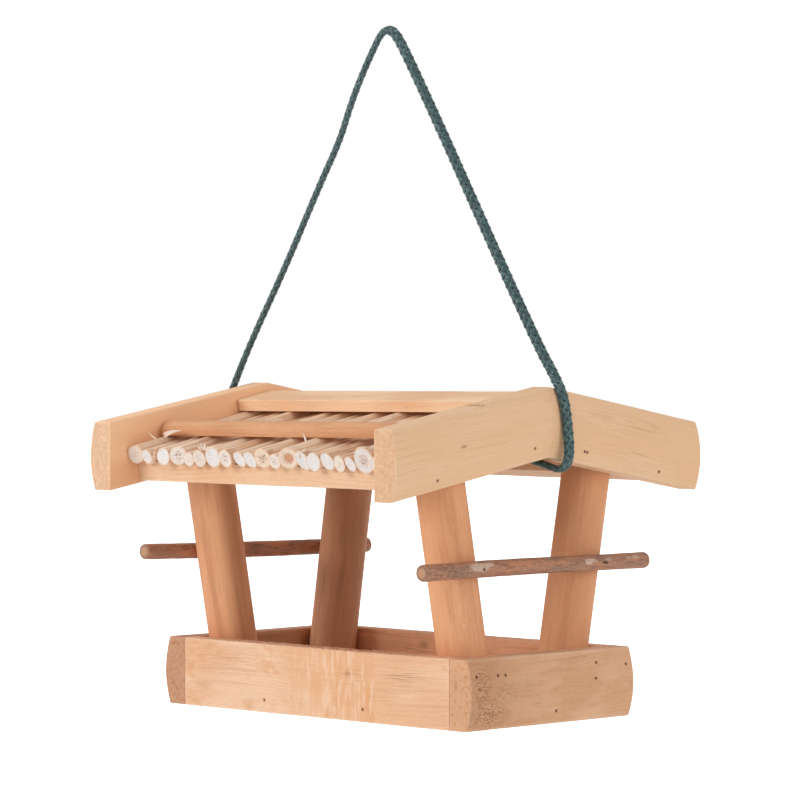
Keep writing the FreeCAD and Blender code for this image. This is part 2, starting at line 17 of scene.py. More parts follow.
import bpy
import numpy as np
from bpy.types import Material, Node, NodeSocket, NodeTree, Object
from mathutils import Euler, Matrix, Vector

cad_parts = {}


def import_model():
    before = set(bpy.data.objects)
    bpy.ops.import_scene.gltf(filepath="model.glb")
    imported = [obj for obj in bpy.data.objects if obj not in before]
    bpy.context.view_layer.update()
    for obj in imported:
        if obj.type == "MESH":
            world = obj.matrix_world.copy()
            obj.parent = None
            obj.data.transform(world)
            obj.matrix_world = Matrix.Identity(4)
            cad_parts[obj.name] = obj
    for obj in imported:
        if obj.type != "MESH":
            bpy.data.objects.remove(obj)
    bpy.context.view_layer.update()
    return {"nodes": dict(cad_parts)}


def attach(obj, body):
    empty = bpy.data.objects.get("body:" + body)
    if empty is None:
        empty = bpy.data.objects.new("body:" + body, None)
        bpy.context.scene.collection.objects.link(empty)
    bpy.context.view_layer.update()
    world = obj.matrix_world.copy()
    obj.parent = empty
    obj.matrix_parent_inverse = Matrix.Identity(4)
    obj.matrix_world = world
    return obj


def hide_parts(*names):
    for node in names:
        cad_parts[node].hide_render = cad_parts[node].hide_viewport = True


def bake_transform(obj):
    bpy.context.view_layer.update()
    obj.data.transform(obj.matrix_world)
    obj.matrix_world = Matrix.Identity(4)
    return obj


LOG = logging.getLogger("bird_table")

Array = np.ndarray
Point = tuple[float, float, float]

MM = 0.001
MIDDLE = np.array((4.0, 4.0, -433.0))
SMALL = 1e-9


class Side(Enum):
    """One of two sides of the table, by the sign of its axis."""

    @property
    def word(self) -> str:
        """Name as it stands in the names of pieces."""
        return self.name.lower()


class Slope(Side):
    """The two slopes of the roof, by the sign of Y."""

    FRONT = -1
    BACK = 1


class Hand(Side):
    """The two ends of the table, by the sign of X."""

    LEFT = -1
    RIGHT = 1


CORNERS = tuple(product(Slope, Hand))


def sided(side: type[Side], *values: object) -> Any:
    """Dataclass field that holds a value for each member of a side, in their order."""
    return field(default_factory=lambda: dict(zip(side, values)))


class Mark(Enum):
    """What a place on a board may show, by the name of the attribute that says how strongly."""

    TORN = "torn"
    KNOT = "knot"
    LINED = "lined"
    SAWN = "sawn"
    CRUMBLED = "crumbled"
    DARKENED = "darkened"


class Cut(Enum):
    """How the lower end of a reed looks: how far it is cream, dotted and brown in the middle."""

    WHITE = (0.0, 0.1, 0.0)
    CREAM = (0.55, 0.3, 0.0)
    DOTTED = (0.45, 1.0, 0.15)
    HEARTED = (0.15, 0.6, 0.4)
    BROWN = (0.8, 0.9, 0.8)
    TAN = (1.0, 0.95, 0.3)


# Meshes


def joined(*parts: Array) -> Array:
    """Arrays joined on a new last axis, such as the coordinates of points."""
    return np.stack(parts, axis=-1)


def unit(ways: Array) -> Array:
    """Directions scaled to length one along their last axis."""
    return ways / np.maximum(np.linalg.norm(ways, axis=-1, keepdims=True), SMALL)


def smooth(edge: Array) -> Array:
    """Smoothstep of a value clipped to 0..1: 3t^2 - 2t^3."""
    clipped = np.clip(edge, 0.0, 1.0)
    return clipped * clipped * (3.0 - 2.0 * clipped)


def spaced(places: Array) -> Array:
    """Places in order, without those that lie within 0.02 of the one before."""
    places = np.unique(places)
    return places[np.concatenate([[True], np.diff(places) > 0.02])]


def once_round(count: int) -> Array:
    """Angles spaced evenly from 0 to a full turn, without its end."""
    return np.linspace(0.0, 2.0 * np.pi, count, endpoint=False)


def wrapped(angles: Array) -> Array:
    """Angles brought to between -pi and pi."""
    return np.angle(np.exp(1j * angles))


def end_shares(count: int, caps: Array) -> Array:
    """Sizes of rings as shares: those of the first end's cap, 1 for each of the count, and back."""
    return np.concatenate([caps, np.ones(count), caps[::-1]])


def swell(places: Array, spacing: float, seed: int) -> Array:
    """Smooth random height between about -1 and 1.

    It is the mean of twelve sines whose directions, lengths near the spacing and phases are drawn
    from the seed, times a gain that brings its usual size to one half.

    Args:
        places: points, with their coordinates on the last axis.
        spacing: typical distance from crest to crest.
        seed: number that the draw starts from.

    Returns:
        One height for each point.
    """
    rng = np.random.default_rng(seed)
    count = 12
    ways = unit(rng.normal(size=(count, places.shape[-1])))
    lengths = spacing * rng.uniform(0.6, 1.7, count)
    phases = rng.uniform(0.0, 2.0 * np.pi, count)
    angles = places @ (ways.T * (2.0 * np.pi / lengths)) + phases
    return np.sin(angles).mean(axis=-1) * 2.4


@dataclass(frozen=True)
class Ripple:
    """Random waves of a surface, as far apart as their spacing across the grain.

    The stretch is the scale of the coordinate along the grain, so that a small one draws the
    waves out that way.
    """

    spacing: float
    height: float
    stretch: float

    def heights(self, grain: Array, seed: int) -> Array:
        """Height at every point whose first coordinate runs along the grain."""
        return swell(grain * (self.stretch, 1.0, 1.0), self.spacing, seed) * self.height


@dataclass
class Skin:
    """Closed surface: rings of points that end in a pole at each end.

    The points are an array of rings by places on a ring, and each field gives one value or one
    vector for each of them.
    """

    points: Array
    fields: dict[str, Array] = field(default_factory=dict)

    def normals(self) -> Array:
        """Outward normals: the slope round each ring crossed with the slope from ring to ring."""
        around = np.roll(self.points, -1, axis=1) - np.roll(self.points, 1, axis=1)
        along = np.gradient(self.points, axis=0)
        return unit(np.cross(around, along)) * self.sign()

    def sign(self) -> float:
        """1 where ring order and place order turn outwards, else -1.

        Returns:
            The sign of the volume that the rings enclose, summed over their quads as seen from
            the middle of the points.
        """
        spots = self.points - self.points.reshape(-1, 3).mean(axis=0)
        near, far = spots[:-1], spots[1:]
        onward = np.roll(near, -1, axis=1)
        volume = np.einsum("ijk,ijk->", near, np.cross(onward, far))
        volume += np.einsum("ijk,ijk->", onward, np.cross(np.roll(far, -1, axis=1), far))
        return 1.0 if volume > 0.0 else -1.0

    def push(self, heights: Array) -> None:
        """Move every point along its normal by its height."""
        self.points = self.points + self.normals() * heights[..., None]

    def parts(self) -> tuple[Array, Array, Array, dict[str, Array]]:
        """Flat arrays for a mesh.

        Returns:
            Points with the two poles at their end, quads, triangles and fields.
        """
        rings, places = self.points.shape[:2]
        index = np.arange(rings * places).reshape(rings, places)
        following = np.roll(index, -1, axis=1)
        quads = joined(index[:-1], following[:-1], following[1:], index[1:])
        first, last = rings * places, rings * places + 1
        fan = joined(following[0], index[0], np.full(places, first))
        tail = joined(index[-1], following[-1], np.full(places, last))
        quads, fans = quads.reshape(-1, 4), np.concatenate([fan, tail])
        if self.sign() < 0.0:
            quads, fans = quads[:, ::-1], fans[:, ::-1]
        flat = {}
        for name, values in {"points": self.points, **self.fields}.items():
            rows = values.reshape((rings * places,) + values.shape[2:])
            poles = np.stack([values[0].mean(axis=0), values[-1].mean(axis=0)])
            flat[name] = np.concatenate([rows, poles])
        return flat.pop("points"), quads, fans, flat


def fit_piece(
    name: str, skins: list[Skin], material: Material, slot: str, *nodes: str, rides: bool = True
) -> Object:
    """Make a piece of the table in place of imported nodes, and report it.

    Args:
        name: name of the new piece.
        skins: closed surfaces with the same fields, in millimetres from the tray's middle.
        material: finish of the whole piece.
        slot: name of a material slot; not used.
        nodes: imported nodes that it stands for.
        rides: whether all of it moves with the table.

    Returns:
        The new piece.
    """
    points, faces, fields, used = [], [], {}, 0
    for skin in skins:
        spots, quads, fans, values = skin.parts()
        points.append(spots)
        faces += (quads + used).tolist() + (fans + used).tolist()
        used += len(spots)
        for key, rows in values.items():
            fields.setdefault(key, []).append(rows)
    mesh = bpy.data.meshes.new(name)
    mesh.from_pydata((np.concatenate(points) + MIDDLE) * MM, [], faces)
    for key, rows in fields.items():
        data = np.concatenate(rows).astype(np.float32)
        kind, entry = ("FLOAT_VECTOR", "vector") if data.ndim == 2 else ("FLOAT", "value")
        mesh.attributes.new(key, kind, "POINT").data.foreach_set(entry, data.ravel())
    mesh.shade_smooth()
    mesh.materials.append(material)
    piece = bpy.data.objects.new(name, mesh)
    bpy.context.scene.collection.objects.link(piece)
    if rides:
        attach(piece, "table")
    if nodes:
        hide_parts(*nodes)
    LOG.info("%s stands for %s", name, ", ".join(nodes) or "no node")
    return piece


# Over what distance wear fades away from an edge, and how near the worn arc a place lies.
WEAR_REACH = 0.9
NEAR_ARC = 0.4
# Where the rings of a board's worn end lie, as shares of its radius, and how large those in the
# flat that closes the end are, as shares of the section.
WORN_STEPS = np.array((0.0, 0.15, 0.45, 1.0))
BOARD_CAPS = np.array((0.2, 0.45, 0.7, 0.9))


@dataclass(frozen=True)
class Loop:
    """Outline of a section: its places, their outward normals and how worn each one is."""

    places: Array
    normals: Array
    wear: Array


def eased_loop(corners: Array, ease: float, step: float, marks: Array) -> Loop:
    """Closed outline with its corners worn to arcs that are tangent to both their sides.

    Args:
        corners: corners of the outline, going round anticlockwise.
        ease: radius of the arcs.
        step: wanted distance between places on a side.
        marks: extra places on the second side, as distances from its first corner.

    Returns:
        The outline.
    """
    spots, normals, wear = [], [], []
    count = len(corners)
    for side in range(count):
        start, end = corners[side], corners[(side + 1) % count]
        before, after = corners[side - 1], corners[(side + 2) % count]
        way = unit(end - start)
        out = np.array((way[1], -way[0]))
        turns = [
            math.acos(np.clip(unit(start - before) @ way, -1, 1)),
            math.acos(np.clip(way @ unit(after - end), -1, 1)),
        ]
        trims = [ease * math.tan(turn / 2) for turn in turns]
        length = float(np.linalg.norm(end - start))
        low, high = trims[0], length - trims[1]
        places = np.linspace(low, high, max(2, round(length / step)) + 1)
        close = [low + NEAR_ARC, high - NEAR_ARC, *(marks if side == 1 else ())]
        places = spaced(np.concatenate([places, close]).clip(low, high))
        spots.append(start + places[:, None] * way)
        normals.append(np.broadcast_to(out, (len(places), 2)))
        wear.append(np.exp(-np.minimum(places - low, high - places) / WEAR_REACH))
        centre = end - way * trims[1] - out * ease
        angles = math.atan2(out[1], out[0]) + turns[1] * np.array((0.25, 0.5, 0.75))
        arc = joined(np.cos(angles), np.sin(angles))
        spots.append(centre + arc * ease)
        normals.append(arc)
        wear.append(np.ones(3))
    return Loop(np.concatenate(spots), np.concatenate(normals), np.concatenate(wear))


@dataclass(frozen=True)
class Patch:
    """Oval place on a board that shows a mark, with a bell-shaped edge and a rough surface.

    It ends sharply at its limit along the board, and shows only farther through it than inside.
    """

    mark: Mark
    along: float
    across: float
    long: float
    wide: float
    strength: float = 1.0
    depth: float = 0.0
    spacing: float = 2.4
    limit: float = 1000.0
    inside: float = -1000.0

    def bell(self, grain: Array, grow: float = 1.0) -> Array:
        """Strength at each place: the bell exp(-(x/long)^2 - (y/wide)^2) within its limits.

        Args:
            grain: the board's own coordinates of every point.
            grow: factor on the length and the width of the bell.

        Returns:
            The strength at every point.
        """
        away = ((grain[..., 0] - self.along) / (self.long * grow)) ** 2
        away = away + ((grain[..., 1] - self.across) / (self.wide * grow)) ** 2
        kept = (grain[..., 0] < self.limit) & (grain[..., 2] > self.inside)
        return self.strength * np.exp(-away) * kept


# A nail pit, and where rings or places lie closer together across it.
PIT_RADIUS = 1.05
PIT_DEPTH = 1.35
PIT_LINES = np.array((-1.9, -1.25, -0.95, -0.55, 0.0, 0.55, 0.95, 1.25, 1.9)) * PIT_RADIUS


def pit_share(away: Array) -> Array:
    """1 in a nail pit and 0 outside, with a smoothstep between 0.72 and 1.07 of its radius."""
    return 1.0 - smooth((away / PIT_RADIUS - 0.72) / 0.35)


@dataclass(frozen=True)
class Board:
    """Straight piece of timber: a section carried along a line.

    A point of the section lies at origin + along * s + through * a + across * b, where s runs
    from 0 to the length. The three directions need not be square to each other, so a cut end may
    lean. The second side of the section is the outer face, which may be crowned and has the nail
    pits. The ends are worn by their own radii. Unless it says otherwise, a board lies along the
    ridge and its section stands upright. Its own coordinates, its grain, are the distance along
    it and the places across and through it.
    """

    origin: Point
    through: Point
    length: float
    section: tuple[tuple[float, float], ...]
    along: Point = (1.0, 0.0, 0.0)
    across: Point = (0.0, 0.0, 1.0)
    crown: float = 0.0
    ease: float = 0.5
    ends: tuple[float, float] = (0.5, 0.5)
    step: float = 2.0
    holes: tuple[tuple[float, float], ...] = ()
    # Slow waves of the surface, and depth and spacing of the saw marks.
    wave: Ripple = Ripple(24.0, 0.1, 0.35)
    saw_depth: float = 0.03
    saw_spacing: float = 3.4
    # How far the grain drifts sideways, and over what length along the board.
    drift: float = 2.2
    drift_length: float = 38.0
    # How strongly a knot draws the grain together, and how far round it, in its own sizes.
    knot_pull: float = 0.65
    knot_reach: float = 2.6
    # Radius up to which an end counts as freshly cut.
    fresh: float = 0.3
    patches: tuple[Patch, ...] = ()
    seed: int = 1

    def stations(self) -> tuple[Array, Array, Array]:
        """Where the rings lie.

        Returns:
            Distances along the line, how far each ring is drawn in, and its share of full size.
        """
        start, stop = self.ends
        places = np.linspace(start, self.length - stop, max(4, round(self.length / self.step)))
        extra = [at + PIT_LINES for at, _ in self.holes]
        extra += [patch.limit + np.array((-0.1, 0.1)) for patch in self.patches]
        extra += [start * WORN_STEPS, self.length - stop * WORN_STEPS]
        places = np.concatenate([places, *extra])
        places = spaced(places[places <= self.length])
        ease = np.where(places < self.length / 2, start, stop)
        depth = np.clip(ease - np.minimum(places, self.length - places), 0.0, ease)
        inset = ease - np.sqrt(np.maximum(ease**2 - depth**2, 0.0))
        shares = end_shares(len(places), BOARD_CAPS)
        count = len(BOARD_CAPS)
        return np.pad(places, count, mode="edge"), np.pad(inset, count, mode="edge"), shares

    def skin(self) -> Skin:
        """Surface of the board.

        The outline, drawn in towards each end, is carried along the line. The crown is a parabola
        over the outer face, 1 - (2t - 1)^2, that fades out at the inner face.

        Returns:
            The surface with its grain and marks, pushed out by its relief and in at its pits.
        """
        corners = np.array(self.section, float)
        first, face = corners[1], corners[2] - corners[1]
        out = unit(np.array((face[1], -face[0])))
        pits = [(at - first[1]) * face[1] / abs(face[1]) + PIT_LINES for _, at in self.holes]
        loop = eased_loop(corners, self.ease, self.step, np.concatenate([[], *pits]))
        places, inset, shares = self.stations()
        centre = (corners.max(axis=0) + corners.min(axis=0)) / 2
        flat = loop.places[None] - loop.normals[None] * inset[:, None, None]
        flat = centre + (flat - centre) * shares[:, None, None]
        if self.crown:
            share = ((flat - first) @ face) / (face @ face)
            bow = 1.0 - (2.0 * share - 1.0) ** 2
            inward = np.clip(((first - flat) @ out) / np.ptp(corners @ out), 0.0, 1.0)
            flat = flat + out * (self.crown * bow * (1.0 - inward))[..., None]
        spots = (
            np.array(self.origin)
            + places[:, None, None] * np.array(self.along)
            + flat[..., :1] * np.array(self.through)
            + flat[..., 1:] * np.array(self.across)
        )
        along = np.broadcast_to(places[:, None], flat.shape[:2])
        grain = joined(along, flat[..., 1], flat[..., 0])
        ease = np.where(along < self.length / 2, *self.ends)
        edge = np.exp(-np.minimum(along, self.length - along) / WEAR_REACH) * (ease > self.fresh)
        skin = Skin(spots, self.shown(grain))
        skin.fields["grain"] = self.own_grain(grain)
        skin.fields["end"] = ((along == 0.0) | (along == self.length)) * 1.0
        skin.fields["worn"] = np.maximum(np.broadcast_to(loop.wear, along.shape), edge)
        sunk = self.pits(skin, grain, out)
        skin.fields["pit"] = sunk
        skin.push(self.relief(grain) * (1.0 - sunk) - sunk * PIT_DEPTH)
        return skin

    def shown(self, grain: Array) -> dict[str, Array]:
        """How strongly each mark shows.

        Args:
            grain: the board's own coordinates of every point.

        Returns:
            For each mark's name, the highest of its patches at every point.
        """
        shown = {mark.value: np.zeros(grain.shape[:2]) for mark in Mark}
        for patch in self.patches:
            name = patch.mark.value
            shown[name] = np.maximum(shown[name], patch.bell(grain))
        return shown

    def own_grain(self, grain: Array) -> Array:
        """Coordinates that the wood's figure follows.

        Args:
            grain: the board's own coordinates of every point.

        Returns:
            The same in metres, drawn together beside a knot, so that the lines go round it, with
            a drift sideways as a slow sine, and moved by the seed so that no two boards match.
        """
        bent = grain.copy()
        for patch in self.patches:
            if patch.mark is Mark.KNOT:
                pull = self.knot_pull * (grain[..., 1] - patch.across)
                bent[..., 1] -= pull * patch.bell(grain, self.knot_reach)
        bent[..., 1] += self.drift * np.sin(grain[..., 0] / self.drift_length + self.seed)
        rng = np.random.default_rng(self.seed)
        return (bent + rng.uniform(-400.0, 400.0, 3) * (1.0, 0.1, 0.1)) * MM

    def pits(self, skin: Skin, grain: Array, out: Array) -> Array:
        """Where the nails went in.

        Args:
            skin: the surface.
            grain: the board's own coordinates of every point.
            out: outward direction of the drilled face in the section.

        Returns:
            1 in a nail pit, where the surface faces within about 40 degrees of out, and else 0.
        """
        pits = np.zeros(grain.shape[:2])
        away = out[0] * np.array(self.through) + out[1] * np.array(self.across)
        for along, across in self.holes:
            reach = np.hypot(grain[..., 0] - along, grain[..., 1] - across)
            pits = np.maximum(pits, pit_share(reach))
        return pits * (skin.normals() @ unit(away) > 0.75)

    def relief(self, grain: Array) -> Array:
        """Height of the sawn surface.

        Args:
            grain: the board's own coordinates of every point.

        Returns:
            The sum of slow waves, of saw marks, which are a sine along the board whose phase
            wanders and whose depth comes and goes, and of the rough patches.
        """
        height = self.wave.heights(grain, self.seed + 11)
        phase = 2.0 * np.pi / self.saw_spacing * grain[..., 0]
        phase += 2.5 * swell(grain, 60.0, self.seed + 12)
        height += np.sin(phase) * self.saw_depth * (0.5 + 0.5 * swell(grain, 35.0, self.seed + 13))
        for number, patch in enumerate(self.patches):
            if patch.depth:
                rough = swell(grain * (0.7, 1.0, 1.0), patch.spacing, self.seed + 20 + number)
                height += patch.bell(grain) * patch.depth * (rough - 0.4)
        return height


def box_section(thickness: float, low: float, high: float) -> tuple[tuple[float, float], ...]:
    """Section from 0 to the thickness and from low to high; its second side is the outer face."""
    return ((0.0, low), (thickness, low), (thickness, high), (0.0, high))


# Finishes


def linear(colour: str) -> tuple[float, float, float, float]:
    """Linear colour with full alpha from an sRGB hex value such as #E9B98F.

    Args:
        colour: the value as a designer writes it.

    Returns:
        Red, green, blue and alpha.
    """
    values = np.array([int(colour[at : at + 2], 16) for at in (1, 3, 5)]) / 255.0
    curved = np.where(values <= 0.04045, values / 12.92, ((values + 0.055) / 1.055) ** 2.4)
    return (*curved.tolist(), 1.0)


def add_node(
    tree: NodeTree, kind: str, settings: dict | None = None, links: dict | None = None
) -> Node:
    """Add a node.

    Args:
        tree: the node tree that it belongs to.
        kind: its type.
        settings: its properties.
        links: for each input, by name or number, the socket that feeds it or its value.

    Returns:
        The new node.
    """
    node = tree.nodes.new(kind)
    for key, value in (settings or {}).items():
        setattr(node, key, value)
    for key, value in (links or {}).items():
        if isinstance(value, NodeSocket):
            tree.links.new(value, node.inputs[key])
        else:
            node.inputs[key].default_value = value
    return node


def drawn_noise(
    tree: NodeTree,
    place: NodeSocket,
    size_mm: tuple[float, float],
    detail: float,
    shift: Point = (0.0, 0.0, 0.0),
) -> NodeSocket:
    """Solid noise whose spots have one size along the grain and one across it.

    Args:
        tree: the material's node tree.
        place: coordinates that the pattern follows, in metres.
        size_mm: length and width of a spot.
        detail: how many finer octaves the noise has.
        shift: how far the pattern is moved, in spots.

    Returns:
        The noise between 0 and 1.
    """
    along, across = (1.0 / (size * MM) for size in size_mm)
    scaled = {"Vector": place, "Location": shift, "Scale": (along, across, across)}
    spread = add_node(tree, "ShaderNodeMapping", links=scaled)
    links = {"Vector": spread.outputs[0], "Scale": 1.0, "Detail": detail}
    return add_node(tree, "ShaderNodeTexNoise", links=links).outputs["Fac"]


@dataclass(frozen=True)
class Figure:
    """One layer of a finish, laid over the layers before it.

    Its colour shows where a solid noise, whose spots have a real length along the grain and a
    real width across it, passes from low to high. With a ring width it shows the late, dark part
    of growth rings instead. It may come and go in broad areas, or be held to an attribute.
    """

    colour: str
    share: float = 1.0
    long_mm: float = 0.0
    wide_mm: float = 0.0
    low: float = 0.5
    high: float = 0.66
    detail: float = 2.0
    ring_mm: float = 0.0
    area_mm: float = 0.0
    where: str = ""

    # Middle of the growth rings in the board's own coordinates, in metres.
    pith = (0.0, 0.024, 0.046)

    def weight(self, tree: NodeTree, place: NodeSocket, number: int) -> NodeSocket | float:
        """Weight of the layer at each spot: its share times its pattern, areas and place.

        Each step maps a value to between 0 and the weight so far.

        Args:
            tree: the material's node tree.
            place: coordinates that the pattern follows, in metres.
            number: the layer's number, which moves its noise away from that of the others.

        Returns:
            The weight.
        """
        steps = []
        if self.ring_mm:
            # A wave of scale 1 has 20 / (2 pi) crests in one unit, so a unit is stretched to fit.
            across = 2.0 * math.pi / (20.0 * self.ring_mm * MM)
            shift = tuple(-part * across for part in self.pith)
            scaled = {"Vector": place, "Location": shift, "Scale": (across * 0.02, across, across)}
            spread = add_node(tree, "ShaderNodeMapping", links=scaled)
            kind = {"wave_type": "RINGS", "rings_direction": "X", "wave_profile": "SAW"}
            bent = {"Scale": 1.0, "Distortion": 2.6, "Detail Scale": 0.35}
            wave = add_node(tree, "ShaderNodeTexWave", kind, {"Vector": spread.outputs[0], **bent})
            steps.append((wave.outputs["Fac"], self.low, self.high))
        spots = [(self.long_mm, self.wide_mm, self.detail, self.low, self.high)]
        spots.append((self.area_mm * 2.5, self.area_mm, 1.0, 0.46, 0.58))
        for shift, (long_mm, wide_mm, detail, low, high) in enumerate(spots):
            if long_mm:
                apart = (7.3 * number, 3.1 * number + 5.7 * shift, 0.0)
                noise = drawn_noise(tree, place, (long_mm, wide_mm), detail, apart)
                steps.append((noise, low, high))
        if self.where:
            held = add_node(tree, "ShaderNodeAttribute", {"attribute_name": self.where})
            steps.append((held.outputs["Fac"], 0.0, 1.0))
        weight = self.share
        for value, low, high in steps:
            ends = {"Value": value, "From Min": low, "From Max": high, "To Max": weight}
            kind = {"interpolation_type": "SMOOTHSTEP"}
            weight = add_node(tree, "ShaderNodeMapRange", kind, ends).outputs[0]
        return weight


@dataclass(frozen=True)
class Finish:
    """Material of one kind of surface: colour layers on a base, lifted fibres and a roughness.

    The patterns are solid and follow the piece's own coordinates, or else the object, so they
    run on from face to face and into the end grain. The fibre is the length, width and height of
    the relief that is too fine for the mesh.
    """

    name: str
    base: str
    figures: tuple[Figure, ...] = ()
    coordinates: str = "grain"
    fibre: tuple[float, float, float] = (11.0, 0.6, 0.07)
    roughness: tuple[float, float] = (0.6, 0.86)
    ior: float = 1.53
    metallic: float = 0.0
    sheen: float = 0.0

    def layers(self) -> tuple[Figure, ...]:
        """Layers from the first to the last."""
        return self.figures

    def material(self) -> Material:
        """Node material of this finish.

        Returns:
            The new material.
        """
        material = bpy.data.materials.new(self.name)
        material.use_nodes = True
        tree = material.node_tree
        tree.nodes.clear()
        if self.coordinates:
            source = add_node(tree, "ShaderNodeAttribute", {"attribute_name": self.coordinates})
            place = source.outputs["Vector"]
        else:
            place = add_node(tree, "ShaderNodeTexCoord").outputs["Object"]
        colour = linear(self.base)
        for number, figure in enumerate(self.layers()):
            weight = figure.weight(tree, place, number)
            both = {0: weight, 6: colour, 7: linear(figure.colour)}
            colour = add_node(tree, "ShaderNodeMix", {"data_type": "RGBA"}, both).outputs[2]
        long_mm, wide_mm, depth_mm = self.fibre
        fibre = drawn_noise(tree, place, (long_mm, wide_mm), detail=3.0)
        smoothest, roughest = self.roughness
        ends = {"From Min": 0.3, "From Max": 0.7, "To Min": smoothest, "To Max": roughest}
        rough = add_node(tree, "ShaderNodeMapRange", links={"Value": fibre, **ends})
        lifted = {"Height": fibre, "Strength": 0.7, "Distance": depth_mm * MM}
        bump = add_node(tree, "ShaderNodeBump", links=lifted)
        surface = {
            "Base Color": colour,
            "Roughness": rough.outputs[0],
            "IOR": self.ior,
            "Metallic": self.metallic,
            "Sheen Weight": self.sheen,
            "Normal": bump.outputs[0],
        }
        shader = add_node(tree, "ShaderNodeBsdfPrincipled", links=surface)
        add_node(tree, "ShaderNodeOutputMaterial", links={"Surface": shader.outputs[0]})
        return material


@dataclass(frozen=True)
class SawnWood(Finish):
    """Untreated softwood straight from the saw, with hardly any figure.

    Raw wood has no varnish, so it is matt and its IOR is that of cellulose. Broad areas are
    warmer, fibres and the late wood of the rings draw faint lines, and short pores are darker.
    End grain is a little darker, and speckled.
    """

    warm: str = "#DFA578"
    line: str = "#B98258"
    end: str = "#E2B188"
    warm_share: float = 0.7
    fibre_share: float = 0.2
    ring_share: float = 0.3
    ring_mm: float = 3.4
    pore_share: float = 0.25
    speck_share: float = 0.1

    def layers(self) -> tuple[Figure, ...]:
        """Layers from broad to fine, then those held to ends, edges, patches and pits.

        Returns:
            The standard layers with those of the piece between the two groups.
        """
        rings = {"low": 0.66, "high": 1.0, "ring_mm": self.ring_mm, "area_mm": 24.0}
        # Each layer's colour, share, spots' length and width in mm, range of its noise and detail.
        return (
            Figure(self.warm, self.warm_share, 100.0, 30.0, 0.42, 0.62, 3.0),
            Figure(self.line, self.fibre_share, 45.0, 1.0, 0.42, 0.72, 3.0),
            Figure(self.line, self.ring_share, **rings),
            Figure(self.line, self.pore_share, 5.0, 0.45, 0.6, 0.68, 1.0),
            # Lifted fibres and saw dust are specks of a few tenths, drawn 0.9 mm wide.
            Figure(self.line, self.speck_share, 1.2, 0.9, 0.46, 0.66, 1.0),
            Figure("#FCEBD6", self.speck_share, 1.3, 1.0, 0.54, 0.68, 1.0),
            *self.figures,
            Figure("#7E5236", 0.55, 34.0, 0.5, 0.56, 0.63, 2.0, where="lined"),
            Figure("#DFA26E", 0.35, where="sawn"),
            Figure("#DC9C66", 0.6, 9.0, 40.0, 0.4, 0.6, 2.0, where="sawn"),
            Figure("#F8DCC2", 0.4, 3.2, 14.0, 0.46, 0.66, 3.0, where="sawn"),
            Figure(self.end, 0.95, where="end"),
            Figure(self.line, 0.15, low=0.6, high=1.0, ring_mm=self.ring_mm, where="end"),
            Figure(self.line, 0.13, 0.8, 0.8, 0.48, 0.62, 1.0, where="end"),
            Figure(self.base, 0.4, 2.4, 2.4, 0.52, 0.66, 2.0, where="end"),
            # Darker where a patch asks, and on the posts their painted shade band.
            Figure("#A8693F", 0.55, where="darkened"),
            Figure("#B4724B", 0.9, where="crumbled"),
            Figure("#F0CDAA", 0.75, 1.5, 1.2, 0.5, 0.62, 1.0, where="crumbled"),
            Figure("#8A5735", 0.7, 1.8, 1.2, 0.46, 0.6, 2.0, where="torn"),
            Figure("#F3D3AE", 0.35, 1.5, 1.0, 0.55, 0.64, 1.0, where="torn"),
            Figure("#8E5630", 0.85, where="knot"),
            Figure("#F8E2C8", 0.16, 9.0, 3.0, 0.3, 0.5, 2.0, where="worn"),
            Figure("#3A2218", where="pit"),
        )


